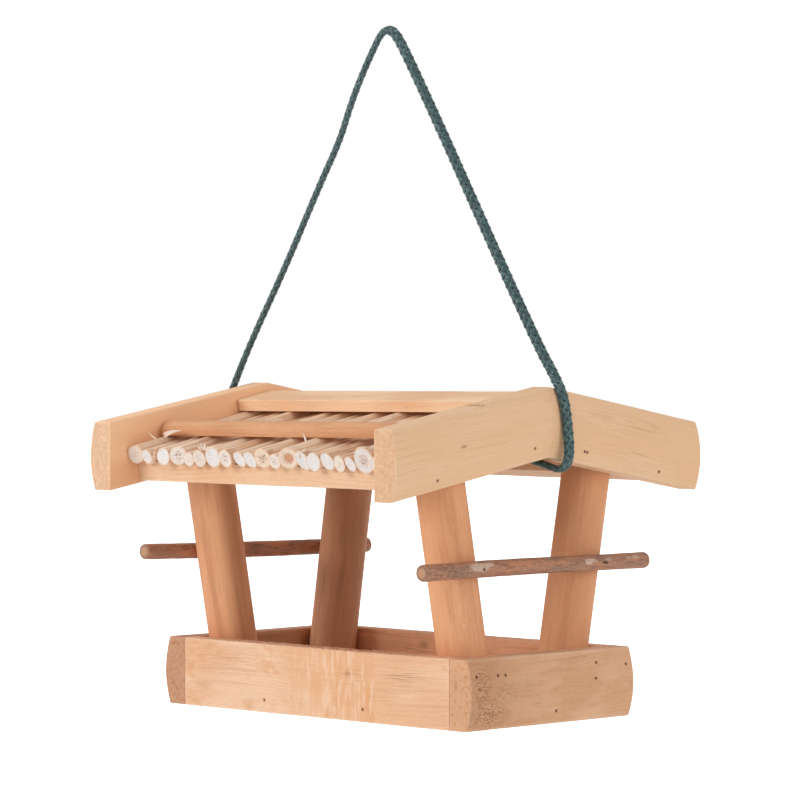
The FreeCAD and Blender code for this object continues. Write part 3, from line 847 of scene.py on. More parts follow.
class Timber(Enum):
    """The boards and poles of the table, each with its own finish. That of the left gables is painted
    lighter, as painted light, and those of the tray's left end, its back side and the back left post
    are painted darker, as painted shade.
    """

    GABLE = SawnWood(
        "sawn_pine_gable", "#EFC49B", warm="#E8B885", line="#C08E5E", end="#D4A276",
        warm_share=0.45, fibre_share=0.1, pore_share=0.12, ring_mm=4.6, ring_share=0.2,
        speck_share=0.05,
    )
    # Left gables: a brighter, warmer copy of the gable finish, partly warmer wood and partly painted
    # light that lifts their shaded inner faces.
    LIGHT_PAINTED_LEFT_GABLE = SawnWood(
        "sawn_pine_left_gable", "#FFCDA0", warm="#F7BD8C", line="#D09A6A", end="#D4A782",
        ring_share=0.0, fibre_share=0.08, pore_share=0.1, speck_share=0.03,
    )
    TRAY_SIDE = SawnWood(
        "sawn_pine_front_side", "#F1C8A5", warm="#E3AA7F", line="#B07A50", ring_mm=2.6, ring_share=0.2,
        figures=(Figure("#D69A69", 0.5, 9.0, 5.0, 0.5, 0.64, 3.0, area_mm=26.0),),
    )
    # Back side board: a darker, more orange copy of the side board's finish, painted shade on its
    # inner face under the roof.
    SHADE_PAINTED_SIDE = SawnWood(
        "sawn_pine_inner_side", "#F2B78C", warm="#DE9C70", line="#8E5A3A", end="#CF9468", ring_mm=3.0,
        speck_share=0.05,
    )
    TRAY_END = SawnWood(
        "sawn_pine_tray_end", "#DDAB82", warm="#D39A70", line="#A97850", end="#E0A06C", ring_mm=4.2,
        fibre=(8.0, 0.7, 0.11), speck_share=0.07,
        figures=(Figure("#EDC09A", 0.3, 34.0, 12.0, 0.46, 0.64, 3.0),),
    )
    # Left end board: a darker copy of the end board's finish, painted shade on its inner face, which
    # lies in shade.
    SHADE_PAINTED_END = SawnWood(
        "sawn_pine_left_end_painted_shade", "#C38A63", warm="#B07650", line="#80502F", end="#B27046", ring_mm=3.6,
        speck_share=0.05,
    )
    FLOOR = SawnWood("sawn_pine_floor", "#C58D64", warm="#B47A51", line="#8E5A38")
    POST = SawnWood(
        "rounded_pine_post", "#E8A97C", warm="#DA9767", line="#B07347", warm_share=0.6,
        fibre_share=0.15, ring_share=0.0, speck_share=0.0,
        figures=(
            Figure("#C48258", 0.35, 80.0, 6.0, 0.48, 0.66, 2.0),
            Figure("#F5CFA6", 0.5, 9.0, 0.8, 0.68, 0.74, 1.0, area_mm=14.0),
        ),
    )
    FRONT_POST = SawnWood(
        "rounded_pine_front_post", "#EDAE80", warm="#D8936A", line="#8A5636", warm_share=0.7,
        fibre_share=0.14, ring_share=0.0, pore_share=0.1, speck_share=0.0,
        figures=(
            Figure("#B0764E", 0.4, 90.0, 6.0, 0.5, 0.68, 2.0),
            Figure("#6F452C", 0.3, 40.0, 0.8, 0.6, 0.7, 2.0, area_mm=14.0),
            Figure("#F2C79C", 0.55, 14.0, 0.7, 0.66, 0.73, 1.0, area_mm=12.0),
        ),
    )
    # Back left post: a darker copy of the post finish, painted shade for the shade that it stands in.
    SHADE_PAINTED_BACK_POST = SawnWood(
        "rounded_pine_back_post", "#C98E68", warm="#AB704B", line="#7F4F31", warm_share=0.7,
        fibre_share=0.15, ring_share=0.0, speck_share=0.0,
        figures=(
            Figure("#8A5A3E", 0.4, 90.0, 7.0, 0.5, 0.66, 2.0),
            Figure("#E0B087", 0.35, 14.0, 0.6, 0.66, 0.74, 1.0, area_mm=16.0),
        ),
    )
    BATTEN = SawnWood(
        "sawn_pine_batten", "#EDC29C", warm="#E6B388", line="#B8865D", ring_mm=3.0, speck_share=0.06
    )
    RIDGE = SawnWood(
        "planed_pine_ridge", "#FDD5AE", warm="#EBB587", line="#C98F5E", ring_mm=3.4, ring_share=0.25,
        speck_share=0.05,
    )
    CLEAT = SawnWood(
        "half_round_pine_cleat", "#DFA679", warm="#C88859", line="#9A613A", fibre_share=0.3,
        pore_share=0.3, ring_share=0.15, speck_share=0.02,
    )

    def material(self) -> Material:
        """New node material of this stock."""
        return self.value.material()


# Dried reed: a satin rind, straw to tan with lengthwise streaks, round a dull white pith whose
# vessels are dots half a millimetre wide, drawn 0.8 mm so that they show.
DRIED_REED = Finish(
    "dried_reed",
    "#EFCBA9",
    (
        Figure("#D79C6C", 0.95, where="tint"),
        Figure("#FBE6D0", 0.7, 60.0, 1.4, 0.44, 0.62, 2.0),
        Figure("#C3855A", 0.55, 45.0, 0.9, 0.5, 0.66, 3.0),
        Figure("#A56F4A", 0.5, 16.0, 5.0, 0.54, 0.7, 3.0),
        Figure("#E9E3E0", where="cut"),
        Figure("#EDD3B8", 0.9, where="cream"),
        Figure("#CDB093", 0.3, 1.4, 1.4, 0.5, 0.64, 1.0, where="cut"),
        Figure("#CC7C44", 0.85, where="brown"),
        Figure("#6E452B", 0.95, 0.95, 0.95, 0.54, 0.62, 1.0, where="dots"),
        Figure("#E3BC96", 0.7, where="rim"),
    ),
    fibre=(30.0, 0.8, 0.14),
    roughness=(0.42, 0.7),
    ior=1.5,
)

# Thin branch that kept most of its bark: matt, grey and red browns in flecks along the grain.
BARKED_STICK = Finish(
    "weathered_branch",
    "#AA785D",
    (
        Figure("#90705C", 0.65, 32.0, 7.0, 0.42, 0.62, 3.0),
        Figure("#C4835C", 0.75, 22.0, 4.0, 0.46, 0.62, 3.0),
        Figure("#6B4636", 0.6, 9.0, 1.1, 0.5, 0.66, 3.0),
        Figure("#E2BB98", 0.35, 2.2, 1.2, 0.62, 0.72, 1.0),
        Figure("#6A4C3B", 0.55, 3.2, 1.3, 0.46, 0.64, 3.0, where="mottled"),
        Figure("#BB8B69", 0.9, where="end"),
        Figure("#76543F", 0.9, where="rim"),
        Figure("#CDB39F", 0.9, where="scar"),
        Figure("#B08A70", 0.6, 1.8, 1.2, 0.5, 0.64, 2.0, where="scar"),
        Figure("#3B261B", 0.9, where="knot"),
        Figure("#22150F", where="pit"),
    ),
    fibre=(9.0, 0.9, 0.3),
)

# Braided polypropylene: dark green yarns with painted light held to the crest field. Bright streaks on
# the crests are painted glints, drawn four times as coarse as a filament, which is a tenth of a
# millimetre thick, and the near black base in the hollows is painted shade.
BRAIDED_CORD = Finish(
    "braided_polypropylene",
    "#101E21",
    (
        Figure("#1F4342", where="crest"),
        Figure("#3C4353", 0.5, 12.0, 2.4, 0.48, 0.64, 2.0, where="crest"),
        Figure("#84ACA9", 0.58, 4.0, 0.42, 0.5, 0.68, 2.0, where="crest"),
    ),
    coordinates="yarn",
    fibre=(3.8, 0.42, 0.15),
    roughness=(0.38, 0.62),
    ior=1.49,
    sheen=0.15,
)

# Drawn steel wire nail under a thin brown oxide, with rust spots 0.8 mm across.
DULLED_STEEL = Finish(
    "dulled_steel_wire",
    "#42291A",
    (Figure("#2A170D", 0.9, 0.8, 0.8, 0.45, 0.62, 3.0),),
    coordinates="",
    fibre=(0.5, 0.5, 0.05),
    roughness=(0.65, 0.9),
    ior=1.5,
    metallic=0.3,
)


# The table


@dataclass(frozen=True)
class Sizes:
    """Sizes that more than one part of the table works from."""

    half_length: float = 134.0
    board: float = 14.6
    crown: float = 4.4
    half_width: float = 74.0
    tray_height: float = 44.0
    side: float = 12.0
    floor_low: float = 3.5
    floor: float = 9.0
    seat_gap: float = 0.1
    ridge: float = 208.4
    roof_pitch: float = math.radians(9.8)
    gable_reach: float = 138.5
    gable_height: float = 43.0
    reed_pitch: float = math.radians(11.6)
    eave_front: float = 115.5
    batten: float = 13.0
    batten_depth: float = 27.0
    batten_rise: float = 1.4
    post_radius: float = 15.5

    @property
    def inner(self) -> float:
        """Distance along X to the inside of the end boards."""
        return self.half_length - self.board

    @property
    def plumb(self) -> float:
        """Height of a gable board measured straight down."""
        return self.gable_height / math.cos(self.roof_pitch)

    @property
    def post_x(self) -> float:
        """Distance along X to the middle of a post."""
        return self.inner - self.post_radius - self.seat_gap

    def seat(self, across: Array | float) -> Array | float:
        """Height of the reeds' underside.

        Args:
            across: distance from the ridge.

        Returns:
            The height there, on the line that rises at the reeds' pitch from the eave batten.
        """
        eave = self.ridge - self.plumb - self.eave_front * math.tan(self.roof_pitch)
        eave += self.batten_rise + self.batten / math.cos(self.reed_pitch)
        return eave + (self.eave_front - across) * math.tan(self.reed_pitch)

    def post_middle(self, slope: Slope, hand: Hand, height: float) -> float:
        """Place across the tray of a post's middle line.

        Args:
            slope: side of the tray that the post stands on.
            hand: end of the tray that it stands at.
            height: height over the tray's underside.

        Returns:
            The place on a line that leans outwards from beside the side board.
        """
        lean = post_lean(slope, hand)
        rim = self.half_width - self.side - self.seat_gap - self.post_radius / math.cos(lean)
        return slope.value * (rim + (height - self.tray_height) * math.tan(lean))


def post_lean(slope: Slope, hand: Hand) -> float:
    """Lean of a post; one stands a little straighter than the rest."""
    return math.radians(8.5 if slope is Slope.BACK and hand is Hand.LEFT else 10.7)


@dataclass
class Tray:
    """Tray of two crowned end boards, two side boards between them and an inset floor."""

    sizes: Sizes
    # The left end board's finish is painted darker, as painted shade.
    end_stock: dict[Hand, Timber] = sided(Hand, Timber.SHADE_PAINTED_END, Timber.TRAY_END)
    # The back side board's finish is painted darker, as painted shade.
    side_stock: dict[Slope, Timber] = sided(Slope, Timber.TRAY_SIDE, Timber.SHADE_PAINTED_SIDE)
    # Height of the nails into the side boards, as a share of the tray's.
    side_nail_share: float = 0.76
    # Two nails in the foot of each post: how far beside its middle line and how high.
    foot_nails: dict[Slope, tuple[tuple[float, float], ...]] = sided(
        Slope, ((-5.0, 33.3), (1.5, 33.1)), ((-4.0, 35.9), (-4.0, 26.2))
    )
    # Nails into the floor: two along each side board, and one beside the middle of each end.
    floor_nails: tuple[float, ...] = (-44.5, 44.5)
    floor_nail_across: float = 4.0
    # Each patch: its mark, place along and across, length, width, strength, depth and spacing.
    # Where the saw lifted the fibres at the near corner of the right end board.
    near_corner: tuple[Patch, ...] = (
        Patch(Mark.TORN, 10.0, 27.0, 10.0, 12.0, 1.0, 0.8, 2.0, inside=3.0),
        Patch(Mark.TORN, 16.0, 10.0, 17.0, 10.0, 1.0, 0.7, 2.2, inside=3.0),
        Patch(Mark.TORN, 30.0, 20.0, 13.0, 10.0, 0.6, 0.3, inside=3.0),
        Patch(Mark.TORN, 50.0, 25.0, 9.0, 6.0, 0.35, 0.1, inside=3.0),
        Patch(Mark.LINED, 66.0, 14.0, 26.0, 5.0, 0.7),
        Patch(Mark.DARKENED, 14.0, 22.0, 42.0, 40.0, 0.7),
    )
    # The front side: a saw band that stops sharply, a small knot, fine cracks and a rough top.
    front_patches: tuple[Patch, ...] = (
        Patch(Mark.SAWN, 150.0, 20.0, 54.0, 60.0, 0.95, 0.05, 3.0, limit=174.6, inside=2.0),
        Patch(Mark.DARKENED, 174.6, 16.0, 0.9, 16.0, 0.4, limit=174.6, inside=2.0),
        Patch(Mark.KNOT, 150.5, 29.3, 2.4, 1.9, 0.5),
        Patch(Mark.DARKENED, 150.5, 29.3, 6.0, 4.4, 0.35),
        Patch(Mark.LINED, 152.0, 29.3, 12.0, 6.0, 1.0),
        Patch(Mark.DARKENED, 18.0, 14.0, 12.0, 7.0, 0.4),
        Patch(Mark.DARKENED, 50.0, 22.0, 60.0, 60.0, 0.24),
        Patch(Mark.LINED, 42.0, 31.0, 34.0, 8.0, 0.9),
        Patch(Mark.LINED, 118.0, 26.0, 26.0, 7.0, 0.5),
        Patch(Mark.LINED, 202.0, 30.0, 20.0, 8.0, 1.0),
        Patch(Mark.CRUMBLED, 150.0, 44.6, 80.0, 1.5, 1.0, 0.55, 2.2),
        Patch(Mark.CRUMBLED, 56.0, 44.6, 50.0, 1.2, 0.8, 0.4, 2.4),
    )
    back_patches: tuple[Patch, ...] = (
        Patch(Mark.LINED, 120.0, 30.0, 60.0, 10.0, 0.8),
        Patch(Mark.KNOT, 84.0, 36.0, 5.0, 3.0, 0.6),
        Patch(Mark.CRUMBLED, 120.0, 44.6, 90.0, 1.0, 0.5, 0.3, 2.4),
    )

    def end_nails(self, hand: Hand) -> tuple[tuple[float, float], ...]:
        """Nail places on an end board.

        Args:
            hand: which end board.

        Returns:
            For each nail its distance from the board's front end and its height.
        """
        sizes = self.sizes
        spots = [(self.floor_nail_across, sizes.floor_low + sizes.floor / 2)]
        for slope in Slope:
            middle = slope.value * (sizes.half_width - sizes.side / 2)
            spots.append((middle, sizes.tray_height * self.side_nail_share))
            for shift, level in self.foot_nails[slope]:
                spots.append((sizes.post_middle(slope, hand, level) + shift, level))
        return tuple((across + sizes.half_width, level) for across, level in spots)

    def build_ends(self) -> None:
        """End boards: flat inside, crowned outside, with torn fibre at the near corner."""
        sizes = self.sizes
        for index, hand in enumerate(Hand):
            board = Board(
                origin=(hand.value * sizes.inner, -sizes.half_width, 0.0),
                along=(0.0, 1.0, 0.0),
                through=(hand.value, 0.0, 0.0),
                length=2 * sizes.half_width,
                section=box_section(sizes.board, 0.0, sizes.tray_height),
                crown=sizes.crown,
                ease=0.8,
                ends=(0.7, 0.7),
                step=0.95,
                holes=self.end_nails(hand),
                patches=self.near_corner if hand is Hand.RIGHT else (),
                seed=31 + index,
            )
            material = self.end_stock[hand].material()
            name, node = f"sawn_end_{hand.word}", f"tray_end_{hand.word}"
            fit_piece(name, [board.skin()], material, "end_board", node)

    def build_sides(self) -> None:
        """Side boards, with the saw's marks across them."""
        sizes = self.sizes
        nail_level = sizes.floor_low + sizes.floor / 2
        for index, slope in enumerate(Slope):
            board = Board(
                origin=(-sizes.inner, slope.value * (sizes.half_width - sizes.side), 0.0),
                through=(0.0, slope.value, 0.0),
                length=2 * sizes.inner,
                section=box_section(sizes.side, 0.0, sizes.tray_height),
                ease=0.45,
                ends=(0.35, 0.35),
                step=1.2,
                holes=tuple((along + sizes.inner, nail_level) for along in self.floor_nails),
                saw_depth=0.05,
                patches=self.front_patches if slope is Slope.FRONT else self.back_patches,
                seed=41 + index,
            )
            material = self.side_stock[slope].material()
            name, node = f"sawn_side_{slope.word}", f"tray_side_{slope.word}"
            fit_piece(name, [board.skin()], material, "side_board", node)

    def build_floor(self) -> None:
        """Floor board between the sides."""
        sizes = self.sizes
        half = sizes.half_width - sizes.side
        board = Board(
            origin=(-sizes.inner, 0.0, sizes.floor_low),
            through=(0.0, 0.0, 1.0),
            across=(0.0, -1.0, 0.0),
            length=2 * sizes.inner,
            section=box_section(sizes.floor, -half, half),
            ease=0.3,
            step=3.0,
            seed=51,
        )
        material = Timber.FLOOR.material()
        fit_piece("sawn_floor", [board.skin()], material, "floor_board", "tray_floor")

    def build(self) -> None:
        """Every piece of the tray."""
        self.build_ends()
        self.build_sides()
        self.build_floor()


@dataclass
class Posts:
    """Four round posts between the tray's floor and the underside of the roof."""

    sizes: Sizes
    top_gap: float = 2.0
    # Painted shade: a band all along a post, painted darker, on one side of the front left post and
    # all round the back right one,
    # most on one side: the middle and the half width of the band, in degrees round the post from +X,
    # and its strength.
    painted_shade_bands: dict[tuple[Slope, Hand], tuple[float, float, float]] = field(
        default_factory=lambda: {
            (Slope.FRONT, Hand.LEFT): (-6.0, 26.0, 1.0),
            (Slope.BACK, Hand.RIGHT): (-45.0, 150.0, 0.4),
        }
    )
    # Slow waves, and the long shallow flats of the drawing knife.
    waves: tuple[Ripple, ...] = (Ripple(30.0, 0.1, 0.25), Ripple(7.0, 0.035, 0.05))
    around: int = 72
    along: int = 90

    def skin(self, slope: Slope, hand: Hand, seed: int) -> Skin:
        """One post.

        Each line of the surface runs along the lean from the level foot to the sloping top.

        Args:
            slope: side of the tray that the post stands on.
            hand: end of the tray that it stands at.
            seed: number that its waves are drawn from.

        Returns:
            The surface with its grain.
        """
        sizes = self.sizes
        lean = post_lean(slope, hand)
        way = np.array((0.0, slope.value * math.sin(lean), math.cos(lean)))
        foot_y = sizes.post_middle(slope, hand, 0.0)
        middle = np.array((hand.value * sizes.post_x, foot_y, 0.0))
        turn = once_round(self.around)
        side = np.array((1.0, 0.0, 0.0))
        front = np.cross(way, side)
        ring = np.cos(turn)[:, None] * side + np.sin(turn)[:, None] * front
        rim = middle + sizes.post_radius * ring
        bottom = (sizes.floor_low + sizes.floor - rim[:, 2]) / way[2]
        fall = math.tan(sizes.reed_pitch)
        level = sizes.seat(0.0) - self.top_gap / math.cos(sizes.reed_pitch)
        # The sloping cut is where the line's height equals the seat's there, less the gap.
        beside = level - fall * slope.value * rim[:, 1] - rim[:, 2]
        top = beside / (way[2] + fall * slope.value * way[1])
        share = np.linspace(0.0, 1.0, self.along)[:, None]
        wall = rim + (bottom + share * (top - bottom))[..., None] * way
        shares = np.array((0.12, 0.45, 0.75, 0.95))[:, None, None]
        foot, head = wall[0].mean(axis=0), wall[-1].mean(axis=0)
        points = np.concatenate(
            [foot + shares * (wall[0] - foot), wall, head + shares[::-1] * (wall[-1] - head)]
        )
        local = points - middle
        grain = joined(local @ way, local @ side, local @ front)
        rng = np.random.default_rng(seed)
        moved = grain + (rng.uniform(-300, 300), rng.uniform(-4, 4), rng.uniform(-4, 4))
        # Painted shade: this post's darker band, if it has one.
        middle, wide, strength = self.painted_shade_bands.get((slope, hand), (0.0, 1.0, 0.0))
        off = np.degrees(wrapped(turn - math.radians(middle))) / wide
        band = np.broadcast_to(strength * np.exp(-(off**2)), points.shape[:2])
        skin = Skin(points, {"grain": moved * MM, "darkened": band})
        height = sum(wave.heights(grain, seed + number) for number, wave in enumerate(self.waves))
        height[: len(shares)] = height[-len(shares) :] = 0.0
        skin.push(height)
        return skin

    def build(self) -> None:
        """The four posts; the two left ones are the darkest: the back one by a finish painted darker,
        as painted shade, and the front one by a painted shade band.
        """
        right = Timber.POST.material()
        # The left posts have finishes of their own; the back one's is painted darker, as painted
        # shade.
        left = {Slope.FRONT: Timber.FRONT_POST, Slope.BACK: Timber.SHADE_PAINTED_BACK_POST}
        for index, (slope, hand) in enumerate(CORNERS):
            material = right if hand is Hand.RIGHT else left[slope].material()
            node = f"post_{slope.word}_{hand.word}"
            skins = [self.skin(slope, hand, 61 + 7 * index)]
            fit_piece(f"round_{node}", skins, material, "post", node)


@dataclass(frozen=True)
class Blemish:
    """Oval place on a stick that shows a scar, a knot or mottled bark, and its swelling.

    It lies at a distance along the stick and an angle, in degrees, up from its outer side.
    """

    name: str
    along: float
    angle: float
    long: float
    wide: float
    strength: float = 1.0
    swelling: float = 0.0


@dataclass
class Perches:
    """A barked stick across the outside of each pair of posts."""

    sizes: Sizes
    radius: float = 5.3
    length: float = 202.5
    # How far each stick is moved along, its height and its dip to the back.
    shift: dict[Hand, float] = sided(Hand, -3.5, -1.6)
    height: dict[Hand, float] = sided(Hand, 98.6, 97.3)
    dip: dict[Hand, float] = sided(Hand, math.radians(1.0), 0.0)
    # How far beside a post's middle line the nail is.
    nail_shifts: dict[Slope, float] = sided(Slope, 3.0, 2.0)
    # Each blemish: its kind, place along and angle, length, width, strength and swelling.
    blemishes: tuple[Blemish, ...] = (
        Blemish("scar", -56.5, 20.0, 9.0, 3.0),
        Blemish("scar", -49.0, 32.0, 5.0, 1.6),
        Blemish("scar", 41.5, 14.0, 4.0, 2.2),
        Blemish("scar", 46.5, 22.0, 2.2, 1.4, 0.8),
        Blemish("scar", 60.0, 24.0, 3.0, 1.2, 0.6),
        Blemish("scar", 79.0, 30.0, 3.0, 1.3, 0.5),
        Blemish("scar", 86.0, 34.0, 4.0, 1.4, 0.6),
        Blemish("knot", 51.5, 26.0, 2.6, 1.2, 0.35, 0.6),
        Blemish("knot", 56.5, 4.0, 2.4, 1.0, 0.95, 0.2),
        Blemish("mottled", -82.0, 12.0, 17.0, 6.0),
        Blemish("mottled", 24.0, 30.0, 20.0, 5.0, 0.6),
    )
    # How much further on, and how many degrees lower, the left stick has its blemishes.
    left_on: float = 31.0
    left_down: float = 60.0
    # How far an end is worn, and by what share of the radius.
    worn: float = 1.1
    worn_share: float = 0.16
    # The sines of the radius and of the middle line's way out and up, and the rough bark.
    sines: tuple[float, float, float] = (31.0, 33.0, 47.0)
    rough: Ripple = Ripple(3.2, 0.09, 0.25)
    along: int = 190
    around: int = 44

    # Rings in the flat that closes an end, as shares of its radius.
    caps = np.array((0.15, 0.5, 0.8, 0.9))

    def stations(self, nails: list[float]) -> tuple[Array, Array]:
        """Where the rings lie, with more of them at the nails and at the worn ends.

        Args:
            nails: distances of the nails along the stick.

        Returns:
            Distances along the stick and the rings' sizes as shares.
        """
        half, count = self.length / 2, len(self.caps)
        ends = half - np.array((0.15, 0.5, self.worn))
        places = [np.linspace(-half, half, self.along), ends, -ends]
        places = spaced(np.concatenate(places + [nail + PIT_LINES for nail in nails]))
        edge = np.clip(1.0 - (half - np.abs(places)) / self.worn, 0.0, 1.0)
        drawn = np.pad(1.0 - self.worn_share * edge**2, count, mode="edge")
        return np.pad(places, count, mode="edge"), end_shares(len(places), self.caps) * drawn

    def turns(self) -> Array:
        """Angles round the stick from its outer side, closest together across the nails."""
        fine = np.radians(np.array((-22.0, -14.0, -9.0, -4.5, 0.0, 4.5, 9.0, 14.0, 22.0)))
        coarse = np.linspace(np.radians(30.0), np.radians(330.0), self.around - len(fine))
        return np.sort(np.concatenate([fine, coarse]) % (2.0 * np.pi))

    def bark(self, hand: Hand, along: Array, angle: Array, seed: int) -> dict[str, Array]:
        """Where the blemishes show and how far they swell.

        Each is a bell that shows from 0.3 and fully from 0.5, with an edge made ragged by waves
        4 mm apart. The left stick has those of the right one further on and lower.

        Args:
            hand: which stick.
            along: distance along the stick at every point.
            angle: angle from its outer side at every point.
            seed: number that the waves are drawn from.

        Returns:
            How strongly each kind shows, and the swelling in millimetres.
        """
        bark = {name: np.zeros_like(along) for name in ("scar", "knot", "mottled", "swelling")}
        ragged = swell(joined(along, wrapped(angle) * self.radius), 4.0, seed)
        for blemish in self.blemishes:
            at, to = blemish.along - self.shift[hand], blemish.angle
            if hand is Hand.LEFT:
                at, to = at + self.left_on, -to - self.left_down
            off = wrapped(angle - math.radians(to)) * self.radius
            bell = np.exp(-(((along - at) / blemish.long) ** 2) - (off / blemish.wide) ** 2)
            edge = smooth((bell + 0.1 * ragged - 0.3) / 0.2) * blemish.strength
            bark[blemish.name] = np.maximum(bark[blemish.name], edge)
            bark["swelling"] += bell * blemish.swelling
        return bark

    def skin(self, hand: Hand, seed: int) -> Skin:
        """One stick: a round section along Y whose radius and middle line follow slow sines.

        Args:
            hand: which stick.
            seed: number that its waves are drawn from.

        Returns:
            The surface with its grain and blemishes.
        """
        sizes, half = self.sizes, self.length / 2
        level, shift, dip = self.height[hand], self.shift[hand], math.tan(self.dip[hand])
        nails = [sizes.post_middle(s, hand, level) + self.nail_shifts[s] - shift for s in Slope]
        places, shares = self.stations(nails)
        along, angle = np.meshgrid(places, self.turns(), indexing="ij")
        shares = np.broadcast_to(shares[:, None], along.shape)
        rng = np.random.default_rng(seed)
        slow, outwards, up = (np.sin(along / long + rng.uniform(0, 6)) for long in self.sines)
        bark = self.bark(hand, along, angle, seed + 5)
        thick = 0.97 + 0.02 * slow + bark.pop("swelling") / self.radius
        size = self.radius * thick * shares
        reach_x = sizes.post_x + sizes.post_radius + sizes.seat_gap + self.radius
        x = hand.value * (reach_x + (0.25 * outwards - 0.2) + size * np.cos(angle))
        z = level - along * dip + 0.35 * up + size * np.sin(angle)
        points = joined(x, along + shift, z)
        grain = joined(along, size * np.cos(angle), size * np.sin(angle))
        skin = Skin(points, {"grain": (grain + rng.uniform(-200, 200)) * MM, **bark})
        pits = [pit_share(np.hypot(along - nail, wrapped(angle) * self.radius)) for nail in nails]
        sunk = np.maximum(*pits)
        end = np.ones(along.shape)
        end[len(self.caps) : -len(self.caps)] = 0.0
        skin.fields |= {"pit": sunk, "end": end, "rim": end * smooth((shares - 0.62) / 0.1)}
        rough = self.rough.heights(grain, seed + 3)
        wall = (np.abs(places) < half - 0.2)[:, None]
        skin.push(np.where(wall, rough * (1.0 - sunk) - sunk * PIT_DEPTH, 0.0))
        return skin

    def build(self) -> None:
        """Both perches."""
        finish = BARKED_STICK.material()
        for index, hand in enumerate(Hand):
            node = f"perch_{hand.word}"
            fit_piece(f"barked_{node}", [self.skin(hand, 91 + index)], finish, "perch", node)


@dataclass(frozen=True)
class ReedRow:
    """Reeds of one slope from end to end: gaps and diameters as shares of the middling one."""

    middling: float = 11.0
    side_gap: float = 0.3
    shares: tuple[tuple[float, float], ...] = (
        (0.0, 1.06), (0.02, 0.81), (0.6, 0.95), (0.21, 1.1), (0.02, 0.72), (0.02, 0.84),
        (0.24, 1.04), (0.09, 1.0), (0.12, 0.9), (0.02, 0.89), (0.02, 1.12), (0.05, 0.85),
        (0.02, 1.21), (0.02, 0.98), (0.02, 0.93), (0.02, 0.98), (0.11, 0.8), (0.02, 0.79),
        (0.02, 1.24), (0.02, 0.85), (0.02, 0.79),
    )

    def places(self, sizes: Sizes) -> tuple[Array, Array]:
        """Where the reeds lie, spread over the room between the roof ends.

        Args:
            sizes: the table's sizes.

        Returns:
            Places along X and diameters.
        """
        gaps, widths = np.array(self.shares).T * self.middling
        room = 2 * (sizes.inner - self.side_gap)
        starts = np.cumsum(gaps + widths) - widths / 2
        spare = (room - np.sum(gaps + widths)) / (len(gaps) - 1)
        return starts + spare * np.arange(len(gaps)) - room / 2, widths

    def top(self, sizes: Sizes, rise: float) -> float:
        """Height over the reeds' underside of a line that rises and clears them all."""
        along, widths = self.places(sizes)
        return float(np.max(widths - along * math.tan(rise)) + 2 * sizes.seat_gap)


